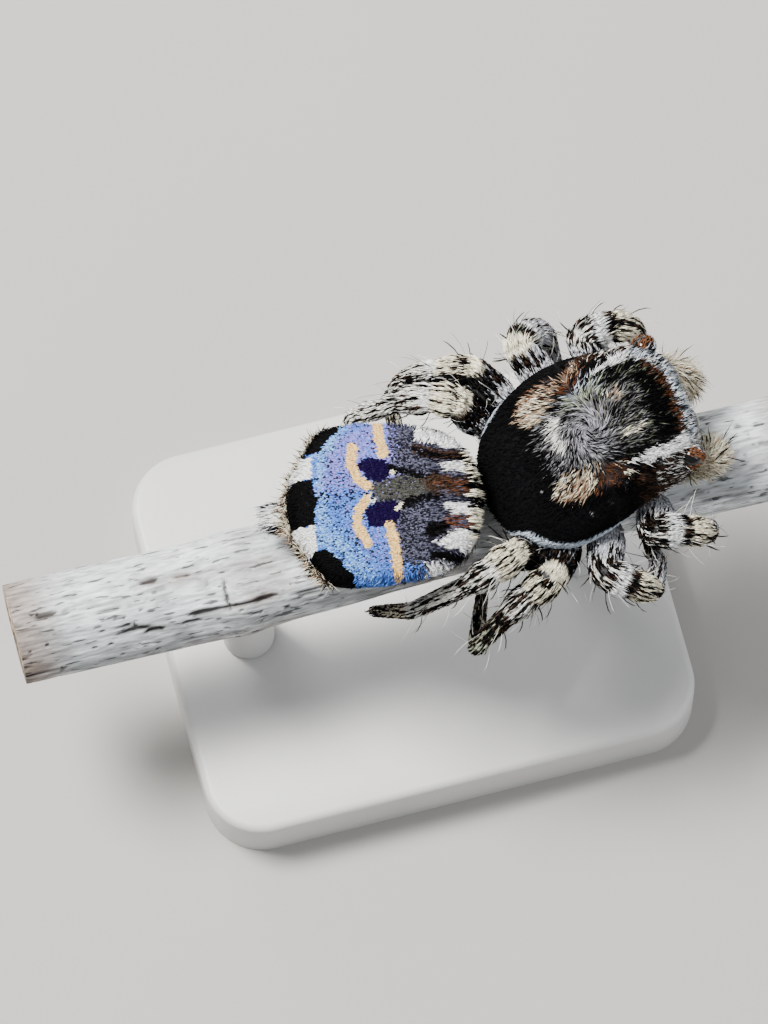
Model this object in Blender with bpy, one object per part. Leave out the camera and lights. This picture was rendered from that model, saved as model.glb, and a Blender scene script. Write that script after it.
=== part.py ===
"""A male peacock spider at life size, gripping a cut length of twig on a display stand.

Metres, +Z up. The origin is the middle of the stand's underside, +X runs along the twig
towards the spider's head and +Y is the spider's left. All sizes below are in millimetres
and pass through MM once, where a mesh is made. Heights of the spider are above the
twig's axis. Places on the front half of the body are (forward of its rear edge, outward,
height), and on the abdomen (forward of its middle, outward, height).
"""

import math
import random
from dataclasses import dataclass

import bmesh
import bpy
from mathutils import Vector

MM = 0.001

# Clearance between touching pieces, small because a leg is only a third of a millimetre thick
GAP = 0.03
FOOT_CLEARANCE = 0.054

# Stand and perch
BASE_LENGTH = 5.2
BASE_WIDTH = 4.2
BASE_THICK = 0.7
BASE_CORNER = 0.6
BASE_EDGE = 0.08
ROD_RADIUS = 0.27
ROD_X = (-1.75, 1.75)
ROD_TOP_Z = 2.39
TWIG_RADIUS = 0.525
TWIG_AXIS_Z = 2.65
TWIG_START = -4.15
TWIG_END = 3.95
TWIG_BOW = 0.02
TWIG_END_BULGE = 0.04
BUD_SCAR_X = -1.85
BUD_SCAR_LENGTH = 0.22
BUD_SCAR_HEIGHT = 0.03

# Front half of the body and the shield over it, each curve as (forward, value) knots
PROSOMA_REAR = (0.685, 0.012)
PROSOMA_YAW = math.radians(7.5)
SHIELD_MARGIN_Z = 0.92
SHIELD_TOP_Z = 1.75
SHIELD_STATIONS = (0.0, 0.05, 0.18, 0.42, 0.70, 0.98, 1.28, 1.58, 1.86, 2.05, 2.16, 2.21)
SHIELD_HALF_WIDTHS = (
    (0.0, 0.14), (0.05, 0.36), (0.1, 0.48), (0.2, 0.62), (0.4, 0.78), (0.6, 0.87), (0.8, 0.91),
    (1.0, 0.915), (1.25, 0.88), (1.5, 0.81), (1.9, 0.745), (2.05, 0.69), (2.16, 0.53), (2.21, 0.28))
SHIELD_MIDDLE_LINE = (
    (0.0, -0.14), (0.3, -0.12), (0.6, -0.11), (0.9, -0.065), (1.2, -0.02), (1.5, 0.0), (2.21, 0.0))
SHIELD_CROWN = (
    (0.0, 0.20), (0.05, 0.26), (0.18, 0.42), (0.42, 0.62), (0.75, 0.82), (1.15, 0.96),
    (1.6, 1.0), (1.9, 0.96), (2.08, 0.88), (2.17, 0.72), (2.21, 0.5))
SHIELD_SQUARENESS = ((0.0, 2.0), (0.9, 2.15), (1.5, 2.7), (2.21, 3.0))
SHIELD_SHOULDER_Z = 0.10
SHIELD_SHOULDER_RISE = 0.13

# Breast between the hips
BREAST_STATIONS = (0.14, 0.24, 0.5, 0.9, 1.3, 1.65, 1.88, 1.98)
BREAST_HALF_WIDTHS = ((0.16, 0.14), (0.4, 0.37), (1.0, 0.46), (1.6, 0.39), (1.95, 0.23))
BREAST_LEVEL_Z = 0.72
BREAST_TOP_Z = 0.88
BREAST_LOW_Z = 0.60

# Eyes: distance forward, sideways and above the twig's axis, and radius
EYES = {
    "front_middle": (2.06, 0.25, 1.35, 0.230),
    "front_side": (2.03, 0.62, 1.42, 0.115),
    "small": (1.68, 0.60, 1.59, 0.045),
    "rear": (1.275, 0.61, 1.55, 0.085),
}

# Jaws, palps and the stalk between the two halves of the body
JAW_TOP = (2.02, 0.20, 0.92)
JAW_LOW = (2.12, 0.19, 0.68)
JAW_RADII = (0.165, 0.12)
PALP_LEFT = ((2.00, 0.50, 0.80), (2.28, 0.45, 1.00), (2.40, 0.34, 0.86), (2.40, 0.23, 0.64))
PALP_RIGHT = ((1.98, 0.54, 0.80), (2.23, 0.61, 0.98), (2.36, 0.53, 0.84), (2.37, 0.36, 0.64))
PALP_ARM_RADII = (0.10, 0.115)
PALP_BULB_RADII = (0.115, 0.145, 0.10)
STALK_FRONT = (0.35, 0.0, 0.84)
STALK_REAR = (0.75, 0.0, 0.92)
STALK_RADII = (0.11, 0.10)

# Abdomen, the plate on it and the spinnerets, the half-widths as shares of the widest
ABDOMEN_MIDDLE = (-0.29, 0.04)
ABDOMEN_YAW = math.radians(-11.0)
ABDOMEN_REACH = 0.97
ABDOMEN_STATIONS = (-0.97, -0.93, -0.8, -0.56, -0.2, 0.2, 0.56, 0.8, 0.92, 0.97)
ABDOMEN_HALF_WIDTH = 0.80
ABDOMEN_SHAPE = (
    (-0.97, 0.10), (-0.92, 0.36), (-0.78, 0.66), (-0.52, 0.95), (-0.2, 1.0),
    (0.3, 0.98), (0.66, 0.92), (0.86, 0.78), (0.94, 0.50), (0.97, 0.2))
ABDOMEN_LEVEL_Z = 1.02
ABDOMEN_LOW_Z = 0.66
ABDOMEN_TOP_Z = 1.40
PLATE_STATIONS = (-0.97, -0.95, -0.88, -0.74, -0.60, -0.44, -0.1, 0.3, 0.62, 0.82, 0.93, 0.97)
PLATE_HALF_WIDTH = 0.855
PLATE_SHAPE = (
    (-0.97, 0.14), (-0.955, 0.34), (-0.90, 0.50), (-0.82, 0.63), (-0.70, 0.85), (-0.60, 0.97),
    (-0.48, 1.0), (-0.2, 0.99), (0.1, 0.965), (0.5, 0.91), (0.7, 0.83), (0.84, 0.70),
    (0.93, 0.48), (0.97, 0.22))
PLATE_MIDDLE = -0.04
PLATE_LEVEL_Z = 1.20
PLATE_TOP_Z = 1.56
PLATE_LOW_Z = 1.02
SPINNERET_CORE = ((-0.80, 0.0, 0.95), (-1.0, 0.0, 0.92))
SPINNERET_CORE_RADII = (0.13, 0.11)
SPINNERET_UPPER = ((-0.84, 0.07, 1.01), (-1.20, 0.06, 0.94))
SPINNERET_UPPER_RADII = (0.10, 0.062)
SPINNERET_LOWER = ((-0.84, 0.07, 0.88), (-1.15, 0.06, 0.81))
SPINNERET_LOWER_RADII = (0.10, 0.07)

# Legs: half-thickness of each segment with its coat
COXA_RADII = (0.132, 0.165)
COXA_REACH = 0.60
COXA_INNER_REACH = 0.22
COXA_INNER_Z = 0.72
HIP_REACH = 0.70
HIP_Z = 0.60
FEMUR_RADII = (0.15, 0.20, 0.18)
PATELLA_RADII = (0.165, 0.185, 0.165)
TIBIA_RADII = (0.155, 0.165, 0.135)
FOOT_RADII = (0.12, 0.105, 0.09, 0.06)
LIMB_SIDES = 8

# Locks of the coat: how deep a root sinks, how much locks differ, and how many there are
LOCK_SINK = 0.06
LOCK_VARIATION = 0.18
RIM_LOCKS = 36
FLANK_LOCKS = 22
FLANK_HEIGHTS = (0.86, 0.98)
FACE_LOCK_PLACES = ((2.10, -0.56), (2.18, -0.08), (2.18, 0.08), (2.10, 0.56))
FACE_LOCK_Z = 1.01

# Where locks root on a limb: (share of its length, degrees round it, 90 on top)
FEMUR_LOCK_PLACES = ((0.52, 20), (0.58, 160), (0.50, 250), (0.62, 300))
PATELLA_LOCK_PLACES = ((0.25, 55), (0.25, 125))
TIBIA_LOCK_PLACES = ((0.22, 70), (0.30, 140), (0.25, 10))
TIBIA_SPINE_PLACES = ((0.45, 245), (0.45, 300))
FOOT_SPINE_PLACES = ((0.45, 60), (0.55, 240))
PALP_ARM_LOCK_PLACES = ((0.55, 40), (0.75, 95), (0.8, 340))
PALP_BULB_LOCK_PLACES = ((0.25, 20), (0.30, 85), (0.45, 130), (0.5, 50), (0.6, 350), (0.68, 95))
PALP_LOCK_RADIUS = 0.11

# Colours for the plain solids
BLACK = (0.02, 0.02, 0.025)
DARK_BROWN = (0.09, 0.06, 0.05)
CREAM = (0.72, 0.66, 0.52)
GREY_BROWN = (0.30, 0.26, 0.23)
LILAC_BLUE = (0.30, 0.40, 0.72)
BARK = (0.55, 0.54, 0.52)
STAND_WHITE = (0.80, 0.80, 0.78)
SATIN = 0.35
GLOSSY = 0.1


@dataclass(frozen=True)
class Leg:
    """One leg: its side, hip station, joints, and the foot's X and angle round the twig.

    The angle is from level, on the leg's own side.
    """

    side: int
    hip: float
    knee: tuple
    shin: tuple
    ankle: tuple
    instep: tuple
    foot_x: float
    foot_angle: float


@dataclass(frozen=True)
class Lock:
    """A flat, tapered lock of hair, or a spine: its sizes, and how far its tip stands off."""

    length: float
    width: float
    thick: float
    lift: float


@dataclass(frozen=True)
class Section:
    """A round section of the body, squared by two powers above and below its level."""

    half: float
    level: float
    top: float
    bottom: float
    square_top: float
    square_low: float
    middle: float = 0.0


LEGS = {
    "l1": Leg(1, 1.66, (1.56, 1.08, 1.02), (1.87, 1.10, 1.00),
              (2.12, 1.03, 0.82), (2.16, 0.74, 0.40), 2.70, 12.0),
    "l2": Leg(1, 1.22, (0.95, 1.26, 1.00), (1.14, 1.40, 0.94),
              (1.32, 1.37, 0.66), (1.28, 1.02, 0.28), 1.82, 5.0),
    "l3": Leg(1, 0.80, (0.42, 1.15, 1.02), (0.10, 1.29, 0.98),
              (-0.18, 1.42, 0.72), (-0.40, 1.40, 0.34), 0.10, 5.0),
    "l4": Leg(1, 0.38, (0.20, 0.87, 1.12), (-0.08, 1.02, 1.12),
              (-0.38, 1.16, 0.94), (-0.84, 1.30, 0.58), -0.45, 8.0),
    "r1": Leg(-1, 1.66, (1.47, 1.12, 1.05), (1.74, 1.20, 1.03),
              (1.97, 1.25, 0.84), (2.07, 1.09, 0.42), 2.76, 5.0),
    "r2": Leg(-1, 1.22, (0.95, 1.40, 1.00), (1.13, 1.54, 0.90),
              (1.31, 1.55, 0.62), (1.47, 1.20, 0.26), 2.28, 0.0),
    "r3": Leg(-1, 0.80, (0.36, 1.15, 1.05), (0.09, 1.20, 0.92),
              (-0.20, 1.24, 0.64), (-0.56, 1.30, 0.14), 0.58, -8.0),
    "r4": Leg(-1, 0.38, (0.16, 0.86, 1.13), (-0.18, 0.93, 1.10),
              (-0.52, 1.00, 0.98), (-1.03, 0.76, 0.36), -0.60, -10.0),
}

RIM_LOCK = Lock(0.20, 0.15, 0.06, 0.05)
FLANK_LOCK = Lock(0.24, 0.16, 0.06, 0.09)
FACE_LOCK = Lock(0.20, 0.10, 0.05, 0.08)
PALP_LOCK = Lock(0.17, 0.09, 0.05, 0.10)
FEMUR_LOCK = Lock(0.26, 0.13, 0.05, 0.11)
KNEE_LOCK = Lock(0.17, 0.11, 0.05, 0.07)
SHIN_LOCK = Lock(0.20, 0.11, 0.05, 0.08)
SPINE = Lock(0.22, 0.035, 0.035, 0.15)


def clear_scene():
    """Remove every object that the file opened with."""
    for item in list(bpy.data.objects):
        bpy.data.objects.remove(item, do_unlink=True)


def new_collection(name):
    """Return a new collection linked under the scene."""
    group = bpy.data.collections.new(name)
    bpy.context.scene.collection.children.link(group)
    return group


def new_material(name, color, roughness):
    """Return a material with one Principled shader."""
    material = bpy.data.materials.new(name)
    material.use_nodes = True
    shader = material.node_tree.nodes["Principled BSDF"]
    shader.inputs["Base Color"].default_value = (*color, 1.0)
    shader.inputs["Roughness"].default_value = roughness
    return material


def body_point(origin, yaw, forward, outward, height):
    """Turn a place on a half of the body into a place in the room."""
    return Vector((
        origin[0] + forward * math.cos(yaw) - outward * math.sin(yaw),
        origin[1] + forward * math.sin(yaw) + outward * math.cos(yaw),
        TWIG_AXIS_Z + height,
    ))


def on_prosoma(forward, outward, height):
    """Place a point measured from the shield's rear edge."""
    return body_point(PROSOMA_REAR, PROSOMA_YAW, forward, outward, height)


def on_abdomen(forward, outward, height):
    """Place a point measured from the middle of the abdomen."""
    return body_point(ABDOMEN_MIDDLE, ABDOMEN_YAW, forward, outward, height)


def smooth_profile(knots, where):
    """Read a smooth curve through (place, value) knots."""
    places = [knot[0] for knot in knots]
    if where <= places[0]:
        return knots[0][1]
    if where >= places[-1]:
        return knots[-1][1]
    index = max(i for i, place in enumerate(places) if place <= where)
    index = min(index, len(knots) - 2)
    start, end = knots[index], knots[index + 1]
    before = knots[max(index - 1, 0)]
    after = knots[min(index + 2, len(knots) - 1)]
    span = end[0] - start[0]
    slope_in = (end[1] - before[1]) / (end[0] - before[0])
    slope_out = (after[1] - start[1]) / (after[0] - start[0])
    t = (where - start[0]) / span
    return (
        (2 * t**3 - 3 * t**2 + 1) * start[1]
        + (t**3 - 2 * t**2 + t) * span * slope_in
        + (3 * t**2 - 2 * t**3) * end[1]
        + (t**3 - t**2) * span * slope_out
    )


def signed_power(value, power):
    """Raise a value to a power and keep its sign."""
    return math.copysign(abs(value) ** power, value)


def loft(name, first_tip, rings, last_tip):
    """Join rings of points into one closed skin, with a point at each end."""
    bm = bmesh.new()
    loops = [[bm.verts.new(point * MM) for point in ring] for ring in rings]
    count = len(loops[0])
    for low, high in zip(loops, loops[1:]):
        for i in range(count):
            j = (i + 1) % count
            bm.faces.new((low[i], low[j], high[j], high[i]))
    for tip, loop in ((first_tip, loops[0]), (last_tip, loops[-1])):
        peak = bm.verts.new(tip * MM)
        for i in range(count):
            bm.faces.new((loop[i], loop[(i + 1) % count], peak))
    bmesh.ops.triangulate(bm, faces=bm.faces)
    bmesh.ops.recalc_face_normals(bm, faces=bm.faces)
    return finished(name, bm)


def finished(name, bm):
    """Turn a built mesh into an object, and free its builder."""
    mesh = bpy.data.meshes.new(name)
    bm.to_mesh(mesh)
    bm.free()
    return bpy.data.objects.new(name, mesh)


def limb(name, path, radii, sides=LIMB_SIDES, grow=0.0):
    """Make a rounded limb along a path of points, thicker all round by grow."""
    tangents = []
    for i in range(len(path)):
        ahead = path[min(i + 1, len(path) - 1)] - path[i]
        behind = path[i] - path[max(i - 1, 0)]
        tangents.append((ahead.normalized() + behind.normalized()).normalized())
    side_way = tangents[0].cross(Vector((0.0, 0.0, 1.0)))
    if side_way.length < 0.2:
        side_way = tangents[0].cross(Vector((0.0, 1.0, 0.0)))
    side_way.normalize()

    def ring(centre, tangent, radius):
        across = (side_way - tangent * side_way.dot(tangent)).normalized()
        up = across.cross(tangent)
        turns = [2 * math.pi * i / sides for i in range(sides)]
        return [centre + (across * math.cos(a) + up * math.sin(a)) * radius for a in turns]

    full = [radius + grow for radius in radii]
    shoulder, shoulder_share, tip = 0.55, 0.78, 0.85
    start, end = tangents[0] * full[0], tangents[-1] * full[-1]
    rings = [ring(path[0] - start * shoulder, tangents[0], full[0] * shoulder_share)]
    rings += [ring(point, tangent, radius) for point, tangent, radius in zip(path, tangents, full)]
    rings.append(ring(path[-1] + end * shoulder, tangents[-1], full[-1] * shoulder_share))
    return loft(name, path[0] - start * tip, rings, path[-1] + end * tip)


def body_loft(name, place, stations, section, sides, grow=0.0):
    """Loft round sections along one half of the body.

    place maps (forward, outward, height) to the room, and section gives the Section at a
    station. The form is larger all round by grow.
    """
    start, end = stations[0], stations[-1]
    middle = 0.5 * (start + end)
    stretch = 1.0 + grow / (0.5 * (end - start))
    rings = []
    for station in stations[1:-1]:
        cut = section(station)
        points = []
        for i in range(sides):
            angle = 2 * math.pi * i / sides
            rise = math.sin(angle)
            square = cut.square_top if rise > 0 else cut.square_low
            reach = (cut.top + grow - cut.level) if rise > 0 else (cut.level - cut.bottom + grow)
            outward = cut.middle + (cut.half + grow) * signed_power(math.cos(angle), 2.0 / square)
            height = cut.level + reach * signed_power(rise, 2.0 / square)
            points.append(place(middle + (station - middle) * stretch, outward, height))
        rings.append(points)
    tips = []
    for station in (start, end):
        cut = section(station)
        tips.append(place(middle + (station - middle) * stretch, cut.middle, cut.level))
    return loft(name, tips[0], rings, tips[1])


def ball(name, centre, radius, across=14, along=9):
    """Make a sphere from the primitive."""
    bm = bmesh.new()
    bmesh.ops.create_uvsphere(bm, u_segments=across, v_segments=along, radius=radius * MM)
    bmesh.ops.translate(bm, verts=bm.verts, vec=centre * MM)
    bmesh.ops.triangulate(bm, faces=bm.faces)
    return finished(name, bm)


def keep_largest(mesh):
    """Keep only the largest closed surface of a mesh."""
    bm = bmesh.new()
    bm.from_mesh(mesh)
    unseen = set(bm.faces)
    islands = []
    while unseen:
        seed = unseen.pop()
        island, front = [seed], [seed]
        while front:
            face = front.pop()
            for edge in face.edges:
                for other in edge.link_faces:
                    if other in unseen:
                        unseen.remove(other)
                        island.append(other)
                        front.append(other)
        islands.append(island)
    islands.sort(key=lambda faces: sum(face.calc_area() for face in faces))
    scraps = [face for island in islands[:-1] for face in island]
    bmesh.ops.delete(bm, geom=scraps, context="FACES")
    bmesh.ops.triangulate(bm, faces=bm.faces)
    bm.to_mesh(mesh)
    bm.free()


def boolean(piece, others, operation):
    """Join others to piece, or cut them from it, as one applied Boolean."""
    if not others:
        return
    cutters = new_collection("cutters_" + piece.name)
    for other in others:
        cutters.objects.link(other)
    modifier = piece.modifiers.new("boolean", "BOOLEAN")
    modifier.operation = operation
    modifier.operand_type = "COLLECTION"
    modifier.collection = cutters
    modifier.solver = "EXACT"
    modifier.double_threshold = 1e-9
    bpy.context.view_layer.update()
    evaluated = piece.evaluated_get(bpy.context.evaluated_depsgraph_get())
    mesh = bpy.data.meshes.new_from_object(evaluated)
    piece.modifiers.clear()
    piece.data = mesh
    keep_largest(mesh)
    for other in list(cutters.objects):
        bpy.data.objects.remove(other, do_unlink=True)
    bpy.data.collections.remove(cutters)


def lock_form(root, out, lie, kind, draw):
    """One lock rooted at a point of a surface: it leaves along out and bends over to lie."""
    lie = (lie - out * lie.dot(out)).normalized()
    cross = lie.cross(out).normalized()
    scale = 1.0 + LOCK_VARIATION * draw.uniform(-1.0, 1.0)
    length, lift = kind.length * scale, kind.lift * scale
    sway = cross * length * 0.15 * draw.uniform(-1.0, 1.0)

    def ring(share, rise, fullness):
        centre = root + lie * length * share + out * rise + sway * share * share
        half_width, half_thick = cross * 0.5 * kind.width * fullness, out * 0.5 * kind.thick * fullness
        return [centre + half_width, centre + half_thick, centre - half_width, centre - half_thick]

    rings = [ring(0.0, -0.5 * LOCK_SINK, 0.85), ring(0.34, 0.5 * lift, 1.0), ring(0.72, 0.85 * lift, 0.6)]
    tip = root + lie * length + out * lift + sway
    return loft("lock", root - out * LOCK_SINK - lie * 0.5 * LOCK_SINK, rings, tip)


def fuse(piece, locks):
    """Fuse locks to a piece so that it stays one closed body."""
    scene = bpy.context.scene.collection
    scene.objects.link(piece)
    boolean(piece, locks, "UNION")
    scene.objects.unlink(piece)
    return piece


class Model:
    """Collects the finished pieces under one empty and gives each its material."""

    def __init__(self):
        self.collection = new_collection("peacock_spider")
        self.root = bpy.data.objects.new("peacock_spider_root", None)
        self.collection.objects.link(self.root)

    def add(self, piece, color, cut_by=(), roughness=0.6):
        """Keep a piece, cut clear of its neighbours, in its own colour."""
        self.collection.objects.link(piece)
        boolean(piece, list(cut_by), "DIFFERENCE")
        piece.data.materials.clear()
        piece.data.materials.append(new_material(piece.name, color, roughness))
        piece.data.shade_smooth()
        piece.data.set_sharp_from_angle(angle=math.radians(50))
        piece.parent = self.root


def shield_section(forward):
    """Section of the shield over the front half of the body."""
    crown = smooth_profile(SHIELD_CROWN, forward)
    return Section(
        half=smooth_profile(SHIELD_HALF_WIDTHS, forward),
        level=SHIELD_MARGIN_Z + SHIELD_SHOULDER_Z + SHIELD_SHOULDER_RISE * crown,
        top=SHIELD_MARGIN_Z + (SHIELD_TOP_Z - SHIELD_MARGIN_Z) * crown,
        bottom=SHIELD_MARGIN_Z,
        square_top=smooth_profile(SHIELD_SQUARENESS, forward),
        square_low=3.2,
        middle=smooth_profile(SHIELD_MIDDLE_LINE, forward))


def shield_form(name="shield_cutter", grow=GAP):
    """The shield, from its rear edge to the face."""
    return body_loft(name, on_prosoma, SHIELD_STATIONS, shield_section, 22, grow)


def eye_centre(key, side):
    """Centre of one eye."""
    forward, outward, height, _ = EYES[key]
    return on_prosoma(forward, side * outward, height)


def breast_section(forward):
    """Section of the breast under the shield."""
    half = smooth_profile(BREAST_HALF_WIDTHS, forward)
    return Section(half, BREAST_LEVEL_Z, BREAST_TOP_Z, BREAST_LOW_Z, 2.4, 2.6)


def underside_form(name="underside_cutter", grow=GAP):
    """The breast with the eight hip segments round it, as one piece."""
    breast = body_loft(name, on_prosoma, BREAST_STATIONS, breast_section, 14, grow)
    hips = []
    for key, leg in LEGS.items():
        inner = on_prosoma(0.25 + 0.75 * leg.hip, leg.side * COXA_INNER_REACH, COXA_INNER_Z)
        outer = on_prosoma(leg.hip, leg.side * COXA_REACH, HIP_Z)
        hips.append(limb("hip_" + key, (inner, outer), COXA_RADII, grow=grow))
    return fuse(breast, hips)


def abdomen_section(forward):
    """Section of the soft abdomen under the plate."""
    shape = smooth_profile(ABDOMEN_SHAPE, forward)
    low = ABDOMEN_LEVEL_Z - (ABDOMEN_LEVEL_Z - ABDOMEN_LOW_Z) * shape**0.7
    top = ABDOMEN_LEVEL_Z + (ABDOMEN_TOP_Z - ABDOMEN_LEVEL_Z) * shape**0.45
    return Section(ABDOMEN_HALF_WIDTH * shape, ABDOMEN_LEVEL_Z, top, low, 2.4, 2.2)


def abdomen_form(name="abdomen_cutter", grow=GAP):
    """The abdomen without its plate."""
    return body_loft(name, on_abdomen, ABDOMEN_STATIONS, abdomen_section, 20, grow)


def plate_section(forward):
    """Section of the patterned plate and the flaps folded down along its sides."""
    shape = smooth_profile(PLATE_SHAPE, forward)
    top = PLATE_LEVEL_Z + (PLATE_TOP_Z - PLATE_LEVEL_Z) * shape**0.4
    return Section(PLATE_HALF_WIDTH * shape, PLATE_LEVEL_Z, top, PLATE_LOW_Z, 3.0, 3.0, PLATE_MIDDLE)


def plate_form(name="plate_cutter", grow=GAP):
    """The patterned plate before the abdomen is cut from it."""
    return body_loft(name, on_abdomen, PLATE_STATIONS, plate_section, 20, grow)


def twig_centre(along):
    """Centre of the twig at a place along X: almost straight, with a slight bow."""
    sideways, upward = TWIG_BOW * math.sin(1.1 * along), TWIG_BOW * math.sin(0.8 * along + 1.0)
    return Vector((along, sideways, TWIG_AXIS_Z + upward))


def twig_radius(along, angle):
    """Radius of the twig: shallow ribs, and an old bud scar as a low ring."""
    ribs = 0.012 * math.sin(3 * angle + 0.6 * along) + 0.008 * math.sin(5 * angle - 1.3 * along)
    scar = BUD_SCAR_HEIGHT * math.exp(-((along - BUD_SCAR_X) / BUD_SCAR_LENGTH) ** 2)
    return TWIG_RADIUS + ribs + scar


def twig_form(name="twig_cutter", grow=GAP):
    """The cut length of twig, with slightly domed ends."""
    sides, steps = 18, 16
    rings = []
    for step in range(steps + 1):
        along = TWIG_START + (TWIG_END - TWIG_START) * step / steps
        centre = twig_centre(along)
        points = []
        for i in range(sides):
            angle = 2 * math.pi * i / sides
            radius = twig_radius(along, angle) + grow
            points.append(centre + Vector((0.0, math.cos(angle), math.sin(angle))) * radius)
        rings.append(points)
    bulge = Vector((TWIG_END_BULGE + grow, 0.0, 0.0))
    return loft(name, twig_centre(TWIG_START) - bulge, rings, twig_centre(TWIG_END) + bulge)


def foot_point(leg):
    """Where a foot's last joint rests beside the twig's surface."""
    angle = math.radians(leg.foot_angle)
    if leg.side < 0:
        angle = math.pi - angle
    reach = TWIG_RADIUS + FOOT_CLEARANCE + FOOT_RADII[-1]
    return twig_centre(leg.foot_x) + Vector((0.0, math.cos(angle), math.sin(angle))) * reach


def leg_joints(leg):
    """Joints of one leg in the room, from hip to foot."""
    places = (leg.knee, leg.shin, leg.ankle, leg.instep)
    hip = on_prosoma(leg.hip, leg.side * HIP_REACH, HIP_Z)
    bends = [on_prosoma(place[0], leg.side * place[1], place[2]) for place in places]
    return [hip, *bends, foot_point(leg)]


def between(start, end, share):
    """A point part of the way from start to end."""
    return start + (end - start) * share


def segment(name, start, end, radii, grow=0.0):
    """One leg segment between two joints, fullest a third of the way along."""
    run = end - start
    inset = run.normalized() * min(radii[0] * 0.6, 0.3 * run.length)
    outset = run.normalized() * min(radii[-1] * 0.6, 0.3 * run.length)
    path = (start + inset, between(start, end, 0.42), end - outset)
    return limb(name, path, radii, grow=grow)


def foot_form(name, start, instep, foot):
    """The two slim last segments of a leg, down to the twig."""
    inset = (instep - start).normalized() * FOOT_RADII[0] * 0.5
    return limb(name, (start + inset, instep, between(instep, foot, 0.45), foot), FOOT_RADII)


def limb_locks(start, end, radius, kind, places, draw):
    """Locks on a limb at (share of its length, degrees round it), lying towards its end."""
    run = (end - start).normalized()
    across = run.cross(Vector((0.0, 0.0, 1.0))).normalized()
    above = across.cross(run)
    locks = []
    for share, degrees in places:
        angle = math.radians(degrees)
        out = across * math.cos(angle) + above * math.sin(angle)
        locks.append(lock_form(between(start, end, share) + out * radius * 0.94, out, run, kind, draw))
    return locks


def build_leg(model, key, leg):
    """Femur, patella, tibia and foot, each cut clear of the one before it."""
    hip, knee, shin, ankle, instep, foot = leg_joints(leg)
    draw = random.Random("leg_" + key)
    femur, patella, tibia = (hip, knee, FEMUR_RADII), (knee, shin, PATELLA_RADII), (shin, ankle, TIBIA_RADII)
    name = "leg_" + key

    locks = limb_locks(hip, knee, FEMUR_RADII[1], FEMUR_LOCK, FEMUR_LOCK_PLACES, draw)
    cutters = (underside_form(), shield_form())
    model.add(fuse(segment(name + "_femur", *femur), locks), GREY_BROWN, cutters)

    locks = limb_locks(knee, shin, PATELLA_RADII[1], KNEE_LOCK, PATELLA_LOCK_PLACES, draw)
    cutters = (segment("femur_cutter", *femur, GAP), shield_form())
    model.add(fuse(segment(name + "_patella", *patella), locks), CREAM, cutters)

    locks = limb_locks(shin, ankle, TIBIA_RADII[1], SHIN_LOCK, TIBIA_LOCK_PLACES, draw)
    locks += limb_locks(shin, ankle, TIBIA_RADII[1], SPINE, TIBIA_SPINE_PLACES, draw)
    cutters = (segment("patella_cutter", *patella, GAP), segment("femur_cutter", *femur, GAP))
    model.add(fuse(segment(name + "_tibia", *tibia), locks), CREAM, cutters)

    locks = limb_locks(ankle, instep, FOOT_RADII[1], SPINE, FOOT_SPINE_PLACES, draw)
    cutters = (segment("tibia_cutter", *tibia, GAP), twig_form())
    model.add(fuse(foot_form(name + "_foot", ankle, instep, foot), locks), GREY_BROWN, cutters)


def face_locks(draw):
    """A short row of locks along the lower edge of the face, over the jaws."""
    ahead = on_prosoma(1.0, 0.0, 0.0) - on_prosoma(0.0, 0.0, 0.0)
    down = ahead * 0.4 - Vector((0.0, 0.0, 1.0))
    roots = [on_prosoma(forward, outward, FACE_LOCK_Z) for forward, outward in FACE_LOCK_PLACES]
    return [lock_form(root, ahead, down, FACE_LOCK, draw) for root in roots]


def build_prosoma(model):
    """Shield, underside, eyes and the stalk to the abdomen."""
    sockets = []
    for name, (_, _, _, radius) in EYES.items():
        for side in (1, -1):
            sockets.append(ball("socket", eye_centre(name, side), radius + GAP))
    shield = shield_form("carapace", 0.0)
    model.add(fuse(shield, face_locks(random.Random("brow"))), BLACK, sockets)
    model.add(underside_form("underside", 0.0), DARK_BROWN, (shield_form(),))
    for name, (_, _, _, radius) in EYES.items():
        for side, letter in ((1, "l"), (-1, "r")):
            detail = (14, 9) if radius > 0.2 else (10, 6)
            eye = ball("eye_" + name + "_" + letter, eye_centre(name, side), radius, *detail)
            model.add(eye, BLACK, roughness=GLOSSY)
    stalk = limb("pedicel", (on_prosoma(*STALK_FRONT), on_abdomen(*STALK_REAR)), STALK_RADII)
    model.add(stalk, DARK_BROWN, (underside_form(), shield_form(), abdomen_form(), plate_form()))


def jaw_form(name, side, grow=0.0):
    """One jaw base, hanging below the big front eyes."""
    path = [on_prosoma(place[0], side * place[1], place[2]) for place in (JAW_TOP, JAW_LOW)]
    return limb(name, path, JAW_RADII, 10, grow)


def palp_locks(side, start, end, places, draw):
    """Locks on the outer and front sides of a palp piece, pointing to its tip."""
    turned = [(share, degrees * side) for share, degrees in places]
    return limb_locks(start, end, PALP_LOCK_RADIUS, PALP_LOCK, turned, draw)


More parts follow.
